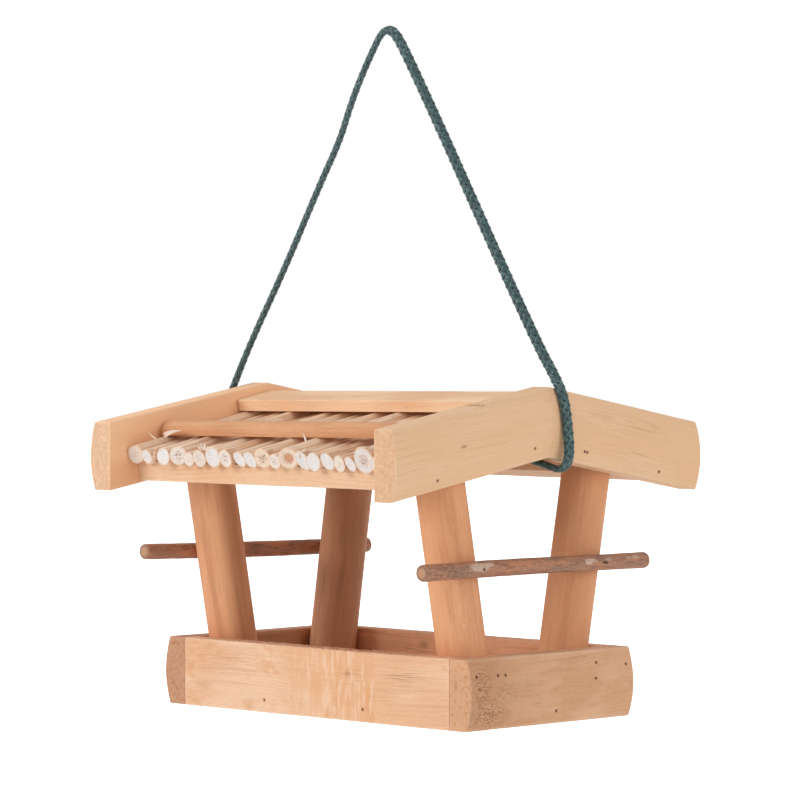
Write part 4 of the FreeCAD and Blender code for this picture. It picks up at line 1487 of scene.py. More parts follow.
@dataclass
class Roof:
    """Gable boards, battens, ridge boards and cleats."""

    sizes: Sizes
    row: ReedRow
    # Nails into the ridge battens, from the ridge, and how deep all nails lie in the battens.
    ridge_nails: dict[Slope, tuple[float, ...]] = sided(Slope, (15.6,), (29.8, 32.2))
    nail_share: float = 0.7
    ridge_start: float = 7.0
    rise: float = math.radians(0.6)
    ridge_width: float = 28.3
    ridge_thickness: float = 7.6
    ridge_gap: float = 0.8
    cleat_radius: float = 8.25
    cleat_front: float = 97.8
    cleat_round: float = 5.0
    cleat_wave: Ripple = Ripple(9.0, 0.13, 0.3)
    # The near gable's small knot and the chip in its top edge; long cracks on the far one.
    gable_patches: dict[tuple[Slope, Hand], tuple[Patch, ...]] = field(
        default_factory=lambda: {
            (Slope.FRONT, Hand.RIGHT): (
                Patch(Mark.KNOT, 80.5, -20.7, 3.0, 1.1, 0.8),
                Patch(Mark.CRUMBLED, 60.0, 0.0, 3.0, 1.0, 0.8, 1.4),
                Patch(Mark.LINED, 30.0, -24.0, 24.0, 9.0, 0.3),
            ),
            (Slope.BACK, Hand.RIGHT): (
                Patch(Mark.LINED, 66.0, -12.0, 46.0, 7.0, 0.8),
                Patch(Mark.LINED, 80.0, -30.0, 40.0, 4.0, 0.6),
            ),
        }
    )

    def gable_nails(self, slope: Slope) -> tuple[tuple[float, float], ...]:
        """Nail places on a gable board.

        Args:
            slope: side of the roof that the board is on.

        Returns:
            For each nail its distance from the ridge and its place across the board.
        """
        sizes = self.sizes
        depth = sizes.batten * self.nail_share / math.cos(sizes.reed_pitch)
        spots = []
        eave = sizes.eave_front - sizes.batten_depth * 0.55
        for across in (eave, *self.ridge_nails[slope]):
            top = sizes.ridge - across * math.tan(sizes.roof_pitch)
            below = (sizes.seat(across) - depth - top) * math.cos(sizes.roof_pitch)
            spots.append((across, below))
        return tuple(spots)

    def build_gables(self) -> None:
        """Gable boards: a crowned section sheared along the slope, so both ends are plumb."""
        sizes = self.sizes
        # The left gables' finish is painted lighter, as painted light over their shade.
        stocks = {Hand.LEFT: Timber.LIGHT_PAINTED_LEFT_GABLE, Hand.RIGHT: Timber.GABLE}
        finishes = {hand: stock.material() for hand, stock in stocks.items()}
        level = math.cos(sizes.roof_pitch)
        for index, (slope, hand) in enumerate(CORNERS):
            board = Board(
                origin=(hand.value * sizes.inner, 0.0, sizes.ridge),
                along=(0.0, slope.value, -math.tan(sizes.roof_pitch)),
                through=(hand.value, 0.0, 0.0),
                across=(0.0, 0.0, 1.0 / level),
                length=sizes.gable_reach,
                section=box_section(sizes.board, -sizes.gable_height, 0.0),
                crown=sizes.crown,
                ease=0.7,
                ends=(0.12, 0.7),
                step=1.3,
                holes=self.gable_nails(slope),
                wave=Ripple(24.0, 0.08, 0.35),
                saw_depth=0.015,
                patches=self.gable_patches.get((slope, hand), ()),
                seed=101 + index,
            )
            node = f"gable_{slope.word}_{hand.word}"
            fit_piece(f"bowed_{node}", [board.skin()], finishes[hand], "gable_board", node)

    def build_battens(self) -> None:
        """Battens under the reeds, at the eave and beside the ridge."""
        sizes = self.sizes
        finish = Timber.BATTEN.material()
        fall, level = math.sin(sizes.reed_pitch), math.cos(sizes.reed_pitch)
        starts = {"eave": sizes.eave_front - sizes.batten_depth, "ridge": self.ridge_start}
        for index, (slope, kind) in enumerate(product(Slope, starts)):
            near = starts[kind]
            # A section's first direction goes down the slope and its second square to it.
            board = Board(
                origin=(-sizes.inner, slope.value * near, float(sizes.seat(near))),
                through=(0.0, slope.value, -math.tan(sizes.reed_pitch)),
                across=(0.0, slope.value * fall, level),
                length=2 * sizes.inner,
                section=box_section(sizes.batten_depth, -sizes.batten, 0.0),
                ends=(0.2, 0.2),
                step=2.0,
                seed=121 + index,
            )
            node = f"{kind}_batten_{slope.word}"
            fit_piece(f"sawn_{node}", [board.skin()], finish, "batten", node)

    def build_ridge_boards(self) -> None:
        """Ridge boards on top of the reeds, with plumb inner edges that meet at the ridge."""
        sizes = self.sizes
        finish = Timber.RIDGE.material()
        top = self.row.top(sizes, self.rise)
        level, fall = math.cos(sizes.reed_pitch), math.sin(sizes.reed_pitch)
        near, far = sizes.seat_gap / 2, self.ridge_width
        foot = far - self.ridge_thickness * fall
        under, over = top / level, (top + self.ridge_thickness) / level
        section = (
            (near, sizes.seat(near) + under),
            (foot, sizes.seat(foot) + under),
            (far, sizes.seat(far) + over),
            (near, sizes.seat(near) + over),
        )
        half = sizes.inner - self.ridge_gap
        tilt = math.tan(self.rise)
        for index, slope in enumerate(Slope):
            board = Board(
                origin=(-half, 0.0, -half * tilt),
                along=(1.0, 0.0, tilt),
                through=(0.0, slope.value, 0.0),
                length=2 * half,
                section=section,
                ease=0.6,
                step=1.5,
                patches=(Patch(Mark.LINED, 90.0, 196.0, 60.0, 5.0, 0.35),),
                seed=131 + index,
            )
            name, node = f"planed_ridge_{slope.word}", f"ridge_board_{slope.word}"
            fit_piece(name, [board.skin()], finish, "ridge_board", node)

    def cleat_skin(self, slope: Slope, seed: int) -> Skin:
        """Half-round cleat: a half circle over a flat, shrunk towards its flat at the round ends.

        Its size at a distance d from an end is the root of 1 - 0.88 (1 - d / round)^2.

        Args:
            slope: side of the roof that the cleat is on.
            seed: number that its waves are drawn from.

        Returns:
            The surface with its grain.
        """
        sizes = self.sizes
        top = self.row.top(sizes, self.rise)
        half = (sizes.inner - sizes.seat_gap) * math.cos(self.rise)
        turn = np.radians(np.linspace(-4.0, 184.0, 33))
        arc = joined(np.cos(turn), np.maximum(np.sin(turn), 0.0))
        foot = joined(np.linspace(-0.95, 0.95, 17), np.zeros(17))
        loop = np.concatenate([arc, foot]) * self.cleat_radius
        places = np.linspace(-half, half, 150)
        ends = half - np.array((0.2, 0.7, 1.5, 2.6, 4.0))
        places = spaced(np.concatenate([places, ends, -ends]))
        short = np.clip(1.0 - (half - np.abs(places)) / self.cleat_round, 0.0, 1.0)
        share = np.sqrt(np.maximum(1.0 - short**2 * 0.88, 0.0))
        caps = np.array((0.1, 0.4, 0.75))
        full = end_shares(len(places), caps)
        places = np.pad(places, len(caps), mode="edge")
        share = full * np.pad(share, len(caps), mode="edge")
        pitch = Euler((-slope.value * sizes.reed_pitch, 0.0, 0.0)).to_matrix()
        axes = np.array(pitch @ Euler((0.0, -self.rise, 0.0)).to_matrix())
        level, fall = math.cos(sizes.reed_pitch), math.sin(sizes.reed_pitch)
        across = self.cleat_front - self.cleat_radius * level - top * fall
        middle = (0.0, slope.value * (across + top * fall), sizes.seat(across) + top * level)
        flat = loop[None] * share[:, None, None]
        along = np.broadcast_to(places[:, None, None], flat.shape[:2] + (1,))
        local = np.concatenate([along, flat], axis=-1)
        rng = np.random.default_rng(seed)
        moved = local + rng.uniform(-200, 200, 3) * (1.0, 0.1, 0.1)
        skin = Skin(np.array(middle) + local @ axes.T, {"grain": moved * MM})
        skin.fields["end"] = (np.abs(along[..., 0]) == half) * 1.0
        wall = (loop[:, 1] > 0.4)[None] * (np.abs(places) < half - 0.1)[:, None]
        skin.push(self.cleat_wave.heights(local, seed) * wall)
        return skin

    def build_cleats(self) -> None:
        """The cleats that clamp the reeds over the eave battens."""
        finish = Timber.CLEAT.material()
        for index, slope in enumerate(Slope):
            node = f"cleat_{slope.word}"
            skins = [self.cleat_skin(slope, 141 + index)]
            fit_piece(f"half_round_{node}", skins, finish, "cleat", node)

    def build(self) -> None:
        """Every board of the roof."""
        self.build_gables()
        self.build_battens()
        self.build_ridge_boards()
        self.build_cleats()


@dataclass(frozen=True)
class Shaving:
    """Strip of rind or pith left at the reeds' ends: a curve through three points, and its width."""

    start: Point
    middle: Point
    end: Point
    width: float
    white: float = 0.3
    tan: float = 0.0

    def skin(self, seed: int) -> Skin:
        """Flat oval section along the curve.

        The line is the quadratic through the three points at 0, a half and 1, the width falls as
        1 - 0.8 t^3 and the section twists by a sixth of a turn.

        Args:
            seed: number that its grain is moved by.

        Returns:
            The surface with the fields of a reed.
        """
        t = np.linspace(0.0, 1.0, 18)[:, None]
        start, middle, end = (np.array(spot) for spot in (self.start, self.middle, self.end))
        bend = 2.0 * middle - (start + end) / 2.0
        line = (1.0 - t) ** 2 * start + 2.0 * t * (1.0 - t) * bend + t**2 * end
        way = unit(np.gradient(line, axis=0))
        side = unit(np.cross(way, np.array((0.5, -0.6, 0.2))))
        lift = np.cross(side, way)
        twist = t * 1.1
        flat_way = np.cos(twist) * side + np.sin(twist) * lift
        thin_way = np.cross(flat_way, way)
        turn = once_round(8)
        half = self.width / 2 * (1.0 - 0.8 * t**3)
        points = (
            line[:, None]
            + (half * np.cos(turn))[..., None] * flat_way[:, None]
            + (0.2 * np.sin(turn))[None, :, None] * thin_way[:, None]
        )
        ones = np.ones(points.shape[:2])
        moved = points + np.random.default_rng(seed).uniform(-100, 100, 3)
        fields = {name: ones * 0.0 for name in ("cream", "brown", "dots", "rim")}
        fields |= {"cut": ones * self.white, "tint": ones * np.maximum(self.tan, t**4)}
        return Skin(points, {"grain": moved * MM, **fields})


@dataclass(frozen=True)
class ReedEnd:
    """Lower end of a reed: its cut, how the cut lies, its rind's colour and its spread.

    The cut is turned to the right and leans out at its top by angles in degrees. The rind is tan
    by a share, and the end is taller than the reed by a factor.
    """

    cut: Cut
    turned: float
    lean: float
    tan: float
    spread: float


@dataclass(frozen=True)
class Reed:
    """Reed on a slope, by its middle line's place along X, its diameter and its end."""

    sizes: Sizes
    slope: Slope
    place: float
    width: float
    end: ReedEnd
    seed: int
    # How far from the ridge it starts and stops.
    start: float = 3.0
    stop: float = 122.5
    around: int = 28
    stations: int = 44

    # Rings in the upper end and from the rim to the middle of the cut, as shares of the radius.
    root = np.array((0.1, 0.5, 0.9))[:, None]
    face = np.array((0.96, 0.9, 0.82, 0.7, 0.52, 0.34, 0.18, 0.06))[:, None]

    def rind(self, length: float, rng: np.random.Generator) -> tuple[Array, Array]:
        """Wall of the reed.

        Args:
            length: its length.
            rng: source of its joint's place and its waves.

        Returns:
            Distances along it, and its thickness as a share of the full one, which slow waves
            vary, a low bell at the joint swells and the worn edge of the cut lessens.
        """
        run = np.linspace(0.0, length, self.stations)
        run = spaced(np.concatenate([run, length - np.array((0.1, 0.3, 0.7))]))
        s, angle = np.meshgrid(run, once_round(self.around), indexing="ij")
        joint = rng.uniform(0.15, 0.85) * length
        thick = 0.985 + 0.022 * np.sin(2 * angle + rng.uniform(0, 6))
        thick = thick + 0.015 * np.sin(s / 19.0 + rng.uniform(0, 6))
        thick = np.minimum(thick + 0.035 * np.exp(-(((s - joint) / 1.6) ** 2)), 1.02)
        return s, thick * (1.0 - 0.035 * np.clip(1.0 - (length - s) / 0.5, 0.0, 1.0) ** 2)

    def laid(self, local: Array) -> Array:
        """Points on the slope from their distances along the reed, to the right and up.

        Args:
            local: the distances.

        Returns:
            The points.
        """
        level, fall = math.cos(self.sizes.reed_pitch), math.sin(self.sizes.reed_pitch)
        up, sign = self.sizes.seat_gap + self.width / 2, self.slope.value
        height = self.sizes.seat(self.start) + up * level
        first = np.array((self.place, sign * (self.start + up * fall), height))
        axes = ((0.0, sign * level, -fall), (1.0, 0.0, 0.0), (0.0, sign * fall, level))
        return first + local @ np.array(axes)

    def skin(self) -> Skin:
        """Surface of the reed.

        The cut leans two ways, so the last part of the wall is sheared by the place across and
        the height, each times the tangent of its lean. The free end grows upright by its spread.
        Inside the rim the pith sinks as it browns.

        Returns:
            The surface with its grain and the fields of its rind and cut end.
        """
        rng = np.random.default_rng(self.seed)
        radius, root, face = self.width / 2, self.root, self.face
        slant, droop = (math.tan(math.radians(lean)) for lean in (self.end.turned, self.end.lean))
        length = (self.stop - self.start) / math.cos(self.sizes.reed_pitch)
        length += -0.5 * radius * (slant + abs(droop)) - rng.uniform(0.0, 1.0)
        turn = once_round(self.around)
        s, thick = self.rind(length, rng)
        cream, dots, brown = self.end.cut.value
        sunk = (0.25 + 1.2 * brown + rng.uniform(-0.3, 0.2)) * smooth((0.9 - face) / 0.7)
        ragged = swell(joined(np.cos(turn) * 3, np.sin(turn) * 3), 2.0, self.seed)
        end = length - sunk + 0.22 * ragged * face
        far = np.concatenate([np.zeros((len(root), self.around)), s, end])
        r = radius * np.concatenate([root * thick[0], thick, face * thick[-1]])
        free = smooth((far - length + 6.5) / 5.0)
        x = r * np.cos(turn)
        y = r * np.sin(turn) * (1.0 + (self.end.spread - 1.0) * free) - 0.4 * free
        far = far + (y * droop - x * slant) * smooth((far - length + 14.0) / 14.0)
        bow = 0.25 * np.sin(np.pi * far / length) * rng.uniform(-1, 1)
        points = self.laid(joined(far, x + bow, y))
        grain = joined(far, x, y) + rng.uniform(-300, 300, 3)
        core = np.concatenate([root, np.ones((len(s), 1)), face])
        cut = np.zeros(far.shape)
        cut[-len(face) :] = 1.0
        fields = {"grain": grain * MM, "tint": np.full(far.shape, self.end.tan), "cut": cut}
        fields["cream"] = cut * cream
        fields["brown"] = cut * brown * smooth((0.75 - core) / 0.5)
        fields["dots"] = cut * dots * smooth((0.72 - core) / 0.45)
        fields["rim"] = cut * smooth((core - 0.86 + 0.04 * ragged) / 0.08)
        return Skin(points, fields)


@dataclass
class ReedRoof:
    """The cut reeds of both slopes, with a few shavings left at their ends."""

    sizes: Sizes
    row: ReedRow
    # The reeds' ends from the left.
    ends: tuple[ReedEnd, ...] = (
        ReedEnd(Cut.CREAM, 14, 4, 0.25, 1.08), ReedEnd(Cut.WHITE, 8, 12, 0.1, 1.15),
        ReedEnd(Cut.WHITE, 12, -4, 0.2, 1.1), ReedEnd(Cut.DOTTED, 18, 0, 0.3, 1.05),
        ReedEnd(Cut.CREAM, 14, 0, 0.6, 1.2), ReedEnd(Cut.CREAM, 18, 8, 0.7, 1.28),
        ReedEnd(Cut.WHITE, 12, 6, 0.1, 1.2), ReedEnd(Cut.DOTTED, 4, 8, 0.5, 1.12),
        ReedEnd(Cut.WHITE, 0, 20, 0.15, 1.12), ReedEnd(Cut.WHITE, 8, 18, 0.0, 1.15),
        ReedEnd(Cut.TAN, 12, 6, 0.4, 1.12), ReedEnd(Cut.DOTTED, 6, 4, 0.3, 1.12),
        ReedEnd(Cut.BROWN, 20, 0, 0.2, 1.06), ReedEnd(Cut.WHITE, 8, 22, 0.35, 1.28),
        ReedEnd(Cut.WHITE, 12, 4, 0.1, 1.25), ReedEnd(Cut.WHITE, 6, 18, 0.3, 1.15),
        ReedEnd(Cut.CREAM, 4, 6, 0.9, 1.35), ReedEnd(Cut.WHITE, 2, 20, 0.4, 1.22),
        ReedEnd(Cut.HEARTED, 16, 8, 0.2, 1.3), ReedEnd(Cut.WHITE, 10, 6, 0.4, 1.15),
        ReedEnd(Cut.CREAM, 8, 4, 0.5, 1.1),
    )
    # Each strip: its start, middle and tip, its width, and how white and how tan it is. There are
    # two at the left, a curl, a tuft on the sixth reed and two splinters further on.
    strips: tuple[Shaving, ...] = (
        Shaving((-106.0, -104.0, 175.6), (-98.0, -105.0, 178.0), (-89.5, -103.5, 179.4), 4.2, 0.5),
        Shaving((-103.6, -112.0, 173.2), (-109.4, -112.4, 176.2), (-113.6, -112.0, 179.0), 1.1),
        Shaving(
            (-93.2, -122.6, 168.6), (-94.0, -124.6, 158.6), (-101.6, -124.0, 159.8), 2.6, 0.0, 0.7
        ),
        Shaving((-53.4, -120.0, 167.4), (-54.2, -120.6, 169.2), (-55.4, -121.0, 171.0), 2.0, 0.5),
        Shaving((-51.8, -120.0, 167.6), (-52.0, -120.6, 169.8), (-52.2, -121.0, 172.2), 2.0, 0.6),
        Shaving((-50.2, -119.8, 167.8), (-49.6, -120.4, 170.0), (-48.6, -120.8, 172.4), 2.2, 0.6),
        Shaving((-48.6, -119.6, 167.4), (-47.4, -120.2, 169.2), (-45.6, -120.6, 170.6), 2.0, 0.5),
        Shaving((25.6, -104.0, 174.4), (24.4, -104.4, 177.4), (22.6, -104.0, 179.8), 1.4, 0.6),
        Shaving((43.4, -121.6, 170.6), (41.6, -123.2, 168.0), (39.4, -123.2, 165.4), 2.4, 0.4),
    )

    def build(self) -> None:
        """Both rows of reeds and the shavings."""
        finish = DRIED_REED.material()
        row = list(zip(*self.row.places(self.sizes), self.ends))
        for index, slope in enumerate(Slope):
            skins = [
                Reed(self.sizes, slope, *look, seed=200 + 40 * index + number).skin()
                for number, look in enumerate(row)
            ]
            node = f"reeds_{slope.word}"
            fit_piece(f"cut_{node}", skins, finish, "reed", node)
        strips = [strip.skin(171 + number) for number, strip in enumerate(self.strips)]
        fit_piece("reed_shavings", strips, finish, "reed")


# The cord


@dataclass
class Route:
    """Line that the cord follows, read from a smooth spline, with directions square to it."""

    line: Array

    def __post_init__(self) -> None:
        """Distances, and directions from the upright plane that the route stays near."""
        steps = np.linalg.norm(np.diff(self.line, axis=0), axis=1)
        self.far = np.concatenate([[0.0], np.cumsum(steps)])
        self.way = unit(np.gradient(self.line, self.far, axis=0))
        self.side = unit(np.cross(self.way, np.array((0.0, 1.0, 0.0))))
        self.back = np.cross(self.way, self.side)

    @classmethod
    def through(cls, spots: tuple[Point, ...]) -> Route:
        """Route of a NURBS spline.

        Args:
            spots: the spline's control points, in metres.

        Returns:
            The route, in millimetres from the tray's middle.
        """
        curve = bpy.data.curves.new("cord_route", "CURVE")
        curve.dimensions = "3D"
        spline = curve.splines.new("NURBS")
        spline.points.add(len(spots) - 1)
        rows = np.concatenate([np.array(spots), np.ones((len(spots), 1))], axis=1)
        spline.points.foreach_set("co", rows.ravel())
        spline.order_u = 3
        spline.use_endpoint_u = True
        spline.resolution_u = 40
        holder = bpy.data.objects.new("cord_route", curve)
        mesh = bpy.data.meshes.new_from_object(holder)
        line = np.empty(len(mesh.vertices) * 3)
        mesh.vertices.foreach_get("co", line)
        bpy.data.objects.remove(holder)
        bpy.data.curves.remove(curve)
        bpy.data.meshes.remove(mesh)
        line = line.reshape(-1, 3)
        apart = np.concatenate([[True], np.linalg.norm(np.diff(line, axis=0), axis=1) > 1e-7])
        return cls(line[apart] / MM - MIDDLE)

    @property
    def length(self) -> float:
        """Length of the route."""
        return float(self.far[-1])

    def flatten(self, turns: tuple[tuple[float, float], ...], wide: float, thin: float) -> None:
        """Turn and scale the two directions, so that round sections become ovals.

        Args:
            turns: shares of the length, and the angle in degrees there from the side direction
                to the oval's long axis.
            wide: scale along that axis.
            thin: scale along the other one.
        """
        angle = np.radians(np.interp(self.far / self.length, *np.array(turns).T))[:, None]
        side, back = self.side, self.back
        self.side = wide * (np.cos(angle) * side + np.sin(angle) * back)
        self.back = thin * (np.cos(angle) * back - np.sin(angle) * side)

    def at(self, places: Array, values: Array) -> Array:
        """Values given along the route, read at other distances from its start.

        Args:
            places: distances, of any shape.
            values: one vector for each point of the route.

        Returns:
            One vector for each distance.
        """
        flat = places.ravel()
        parts = [np.interp(flat, self.far, values[:, axis]) for axis in range(3)]
        return np.stack(parts, axis=-1).reshape(places.shape + (3,))

    def ring(self, places: Array, radius: Array, angle: Array) -> Array:
        """Points round the route at a radius and an angle."""
        shift = (radius * np.cos(angle))[..., None] * self.at(places, self.side)
        shift += (radius * np.sin(angle))[..., None] * self.at(places, self.back)
        return self.at(places, self.line) + shift

    def metres(self, count: int) -> list[list[float]]:
        """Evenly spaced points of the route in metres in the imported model's frame."""
        places = np.linspace(0.0, self.length, count)
        return ((self.at(places, self.line) + MIDDLE) * MM).tolist()


@dataclass
class HangingCord:
    """Braided cord: up from the knot, over the hook and back, round both roof ends."""

    diameter: float = 5.5
    pitch: float = 23.0
    each_way: int = 4
    length: float = 893.0
    # The braid has flattened to an oval, and lies broad side down on the boards.
    wide: float = 1.3
    thin: float = 0.84
    turns: tuple[tuple[float, float], ...] = (
        (0.0, 90.0), (0.165, 90.0), (0.2, 50.0), (0.5, 40.0), (0.8, 46.0), (0.86, 90.0), (1.0, 90.0)
    )
    # The route's points in metres, from the knot round the right roof end, over the hook and
    # round the left roof end.
    route: tuple[Point, ...] = (
        (-0.01803, 0.00113, -0.27333), (0.085, 0.009, -0.27),
        (0.107, 0.0108, -0.2685), (0.12, 0.0125, -0.2716),
        (0.1475, 0.0136, -0.2785), (0.1453, 0.0115, -0.238),
        (0.1408, 0.01, -0.223), (0.121, 0.00865, -0.195),
        (0.0198, 0.00131, -0.0175), (0.0008, 0.0, 0.009),
        (-0.01767, -0.00061, -0.0183), (-0.0311, -0.0011, -0.0424),
        (-0.0413, -0.0015, -0.067), (-0.0574, -0.0022, -0.092),
        (-0.0912, -0.0035, -0.1496), (-0.1185, -0.006, -0.1938),
        (-0.13245, -0.01, -0.2247), (-0.1383, -0.011, -0.239),
        (-0.1405, -0.0115, -0.278), (-0.103, -0.00734, -0.2742),
        (-0.03397, -8e-05, -0.27335),
    )
    knot_middle: Point = (-0.026, 0.00052, -0.27334)
    # A yarn's half width and half thickness, the radius that it is wound at, how deep its middle
    # lies under the braid's surface, how far that rises and falls, and how deep the core lies.
    yarn_half: tuple[float, float] = (1.3, 0.5)
    wound_at: float = 2.0
    yarn_depth: float = 0.72
    yarn_rise: float = 0.25
    core_depth: float = 1.15

    def strands(self, route: Route) -> list[Skin]:
        """Yarns of a round braid and the core that they hide.

        A yarn winds round the route at the pitch. The cosine of the winding times the count is 1
        where it lies over a yarn of the other hand and -1 where it lies under one, so its radius
        gains its rise times that. Its section is a flat oval laid on the cylinder: going across
        the yarn by u turns it by u cos(a) / r and moves it along by u sin(a), where a is the
        angle of the winding.

        Args:
            route: line that the braid follows.

        Returns:
            One surface for each yarn, and the core.
        """
        radius = self.diameter / 2
        places = np.linspace(0.0, route.length, max(8, int(route.length / 0.95)))
        winding = 2.0 * np.pi / self.pitch
        turn = once_round(8)
        s, oval = np.meshgrid(places, turn, indexing="ij")
        lay = math.atan(winding * self.wound_at)
        across = self.yarn_half[0] * np.cos(oval)
        thick = self.yarn_half[1] * np.sin(oval) * (1.0 - 0.25 * np.cos(oval) ** 2)
        skins = []
        for hand in (1.0, -1.0):
            over = hand * np.cos(winding * self.each_way * s)
            r = (radius - self.yarn_depth) + self.yarn_rise * over + thick
            # crest carries painted light: high where a yarn lies on top, low at its edges and where it
            # dips under, so the finish paints glints there and shade in the hollows.
            crest = smooth((r - (radius - 0.8)) / 0.7) * (1.0 - 0.55 * np.cos(oval) ** 4)
            for index in range(self.each_way):
                angle = hand * winding * s + 2.0 * np.pi * index / self.each_way
                angle = angle + across * math.cos(lay) / self.wound_at
                along = np.clip(s - hand * across * math.sin(lay), 0.0, route.length)
                yarn = joined(s, across, np.full_like(s, 7.0 * index + 40.0 * hand))
                fields = {"yarn": yarn * MM, "crest": crest}
                skins.append(Skin(route.ring(along, r, angle), fields))
        skins.append(self.core(route, radius - self.core_depth))
        return skins

    def core(self, route: Route, radius: float) -> Skin:
        """Plain core under the yarns.

        Args:
            route: line that the core follows.
            radius: its radius before the braid is flattened.

        Returns:
            A tube round the route.
        """
        places = np.linspace(0.0, route.length, max(4, int(route.length / 3.0)))
        turn = once_round(10)
        s, angle = np.meshgrid(places, turn, indexing="ij")
        yarn = joined(s, angle, np.zeros_like(s)) * MM
        points = route.ring(s, np.full_like(s, radius), angle)
        # Its crest is nought, so it takes the near black of the painted hollow shade.
        return Skin(points, {"yarn": yarn, "crest": np.zeros_like(s)})

    def knot_route(self, hand: float) -> Route:
        """One cord end in the knot.

        It comes in along the run, winds a turn round its twin by quarter turns, and its tail
        hangs down.

        Args:
            hand: 1 for the end that comes from the right, -1 for the one from the left.

        Returns:
            The route of this end.
        """
        x, y, z = self.knot_middle
        wound_at = 0.0033
        spots = [(x + hand * 0.0085, y, z)]
        for quarter, step in enumerate((0.0045, 0.0015, -0.0015, -0.0045, -0.0065)):
            angle = quarter * math.pi / 2
            side, up = hand * wound_at * math.cos(angle), hand * wound_at * math.sin(angle)
            spots.append((x + hand * step, y + side, z + up))
        spots.append((x - hand * 0.0085, y - hand * 0.0055, z - 0.0045))
        spots.append((x - hand * 0.0105, y - hand * 0.0120, z - 0.0095))
        return Route.through(tuple(spots))

    def build(self) -> None:
        """The cord and its knot."""
        finish = BRAIDED_CORD.material()
        route = Route.through(self.route)
        route.flatten(self.turns, self.wide, self.thin)
        LOG.info("cord route %.1f mm", route.length)
        nodes = ("cord_loop", "cord_right", "cord_left")
        cord = fit_piece("braided_cord", self.strands(route), finish, "cord", *nodes, rides=False)
        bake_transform(cord)
        ends = [skin for hand in (1.0, -1.0) for skin in self.strands(self.knot_route(hand))]
        knot = fit_piece("cord_knot_tied", ends, finish, "cord", "cord_knot")
        route.metres(2)[0]
        route.metres(400)


@dataclass
class Brads:
    """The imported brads, which show as dark spots at the bottom of their pits."""

    nodes: tuple[str, ...] = ("tray_brads", "perch_brads", "gable_brads", "clamp_brads")

    def build(self, nodes: dict[str, Object]) -> None:
        """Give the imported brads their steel.

        Args:
            nodes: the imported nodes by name.
        """
        finish = DULLED_STEEL.material()
        for name in self.nodes:
            for slot in nodes[name].material_slots:
                slot.material = finish
            LOG.info("%s dressed", name)


# The studio


@dataclass(frozen=True)
class Lamp:
    """Square soft box that faces the table's middle, with its side in metres."""

    name: str
    eye: Point
    side: float
    watts: float
    target: Point = (0.0, 0.0, -0.30)

    def build(self) -> None:
        """The lamp where it stands."""
        data = bpy.data.lights.new(self.name, "AREA")
        data.size = self.side
        data.energy = self.watts
        lamp = bpy.data.objects.new(self.name, data)
        lamp.location = self.eye
        aim = Vector(self.target) - Vector(self.eye)
        lamp.rotation_euler = aim.to_track_quat("-Z", "Y").to_euler()
        bpy.context.scene.collection.objects.link(lamp)


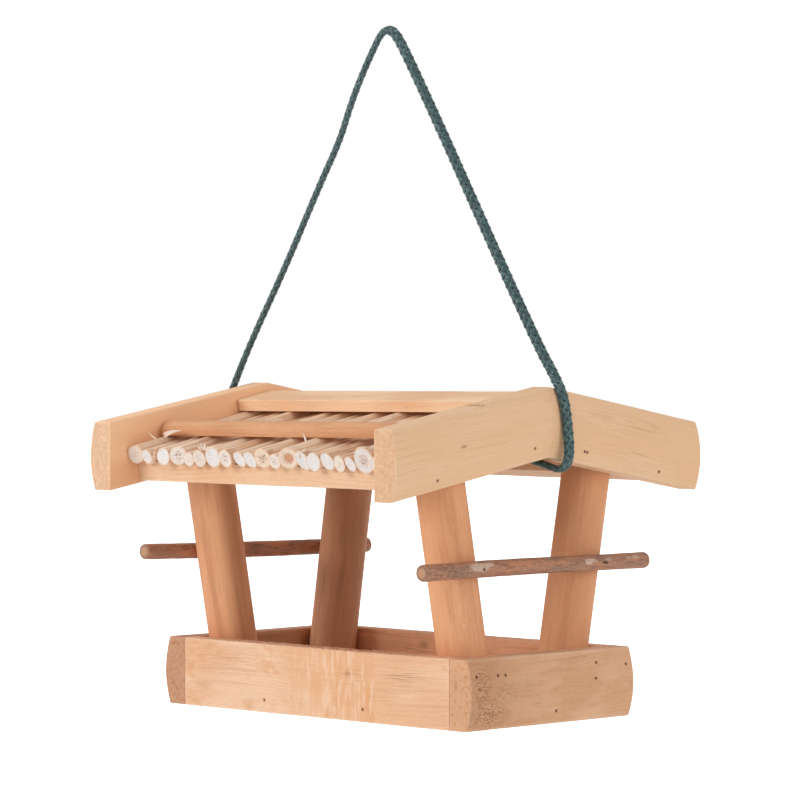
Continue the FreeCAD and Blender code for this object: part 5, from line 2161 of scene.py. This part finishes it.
@dataclass
class Studio:
    """Pale floor, soft light from all round and the photograph's camera."""

    eye: Point = (1.81955, -1.81965, -0.1848)
    turn: Point = (math.radians(88.895), 0.0, math.radians(44.81))
    focal_mm: float = 180.7
    floor_z: float = -0.95
    floor_radius: float = 24.0
    world_level: float = 0.58
    lamps: tuple[Lamp, ...] = (
        Lamp("key", (-0.9, -2.2, 0.6), 1.2, 29.0),
        Lamp("fill", (2.2, 0.2, 0.2), 1.4, 11.0),
    )

    def build_camera(self) -> None:
        """Long lens from the near front corner, a little above the tray."""
        data = bpy.data.cameras.new("view")
        data.lens = self.focal_mm
        data.sensor_width = 36.0
        data.clip_end = 60.0
        camera = bpy.data.objects.new("view", data)
        camera.location = self.eye
        camera.rotation_euler = self.turn
        bpy.context.scene.collection.objects.link(camera)
        bpy.context.scene.camera = camera

    def seen(self, tree: NodeTree) -> NodeSocket:
        """1 for what the camera and mirrors see, and 0 for what lights the object."""
        sight = add_node(tree, "ShaderNodeLightPath")
        rays = {0: sight.outputs["Is Camera Ray"], 1: sight.outputs["Is Glossy Ray"]}
        return add_node(tree, "ShaderNodeMath", {"operation": "MAXIMUM"}, rays).outputs[0]

    def build_floor(self) -> None:
        """Round floor of white paper that stays white to the camera and keeps the shadow."""
        turn = once_round(96)
        rim = joined(np.cos(turn), np.sin(turn), 0.0 * turn) * self.floor_radius
        mesh = bpy.data.meshes.new("floor")
        mesh.from_pydata(rim + (0.0, 0.0, self.floor_z), [], [list(range(len(turn)))])
        floor = bpy.data.objects.new("floor", mesh)
        bpy.context.scene.collection.objects.link(floor)
        material = bpy.data.materials.new("white_paper")
        material.use_nodes = True
        tree = material.node_tree
        tree.nodes.clear()
        paper = add_node(tree, "ShaderNodeBsdfDiffuse", links={"Color": linear("#F4F4F4")})
        light = {"Color": linear("#FFFFFF"), "Strength": self.seen(tree)}
        glow = add_node(tree, "ShaderNodeEmission", links=light)
        both = add_node(tree, "ShaderNodeAddShader", links={0: paper.outputs[0], 1: glow.outputs[0]})
        add_node(tree, "ShaderNodeOutputMaterial", links={"Surface": both.outputs[0]})
        mesh.materials.append(material)

    def build_world(self) -> None:
        """White surroundings: full white to the camera, and a soft level on the object."""
        world = bpy.data.worlds.new("studio")
        bpy.context.scene.world = world
        world.use_nodes = True
        tree = world.node_tree
        tree.nodes.clear()
        levels = {"Value": self.seen(tree), "To Min": self.world_level, "To Max": 1.0}
        level = add_node(tree, "ShaderNodeMapRange", links=levels)
        light = {"Color": linear("#FFFFFF"), "Strength": level.outputs[0]}
        back = add_node(tree, "ShaderNodeBackground", links=light)
        add_node(tree, "ShaderNodeOutputWorld", links={"Surface": back.outputs[0]})

    def build(self) -> None:
        """Camera, floor, surroundings and lamps."""
        self.build_camera()
        self.build_floor()
        self.build_world()
        for lamp in self.lamps:
            lamp.build()
        bpy.context.scene.view_settings.view_transform = "Standard"


def main() -> None:
    """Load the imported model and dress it."""
    logging.basicConfig(level=logging.INFO, format="%(message)s")
    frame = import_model()
    sizes, row = Sizes(), ReedRow()
    Studio().build()
    HangingCord().build()
    Tray(sizes).build()
    Posts(sizes).build()
    Perches(sizes).build()
    Roof(sizes, row).build()
    ReedRoof(sizes, row).build()
    Brads().build(frame["nodes"])


if __name__ == "__main__":
    main()
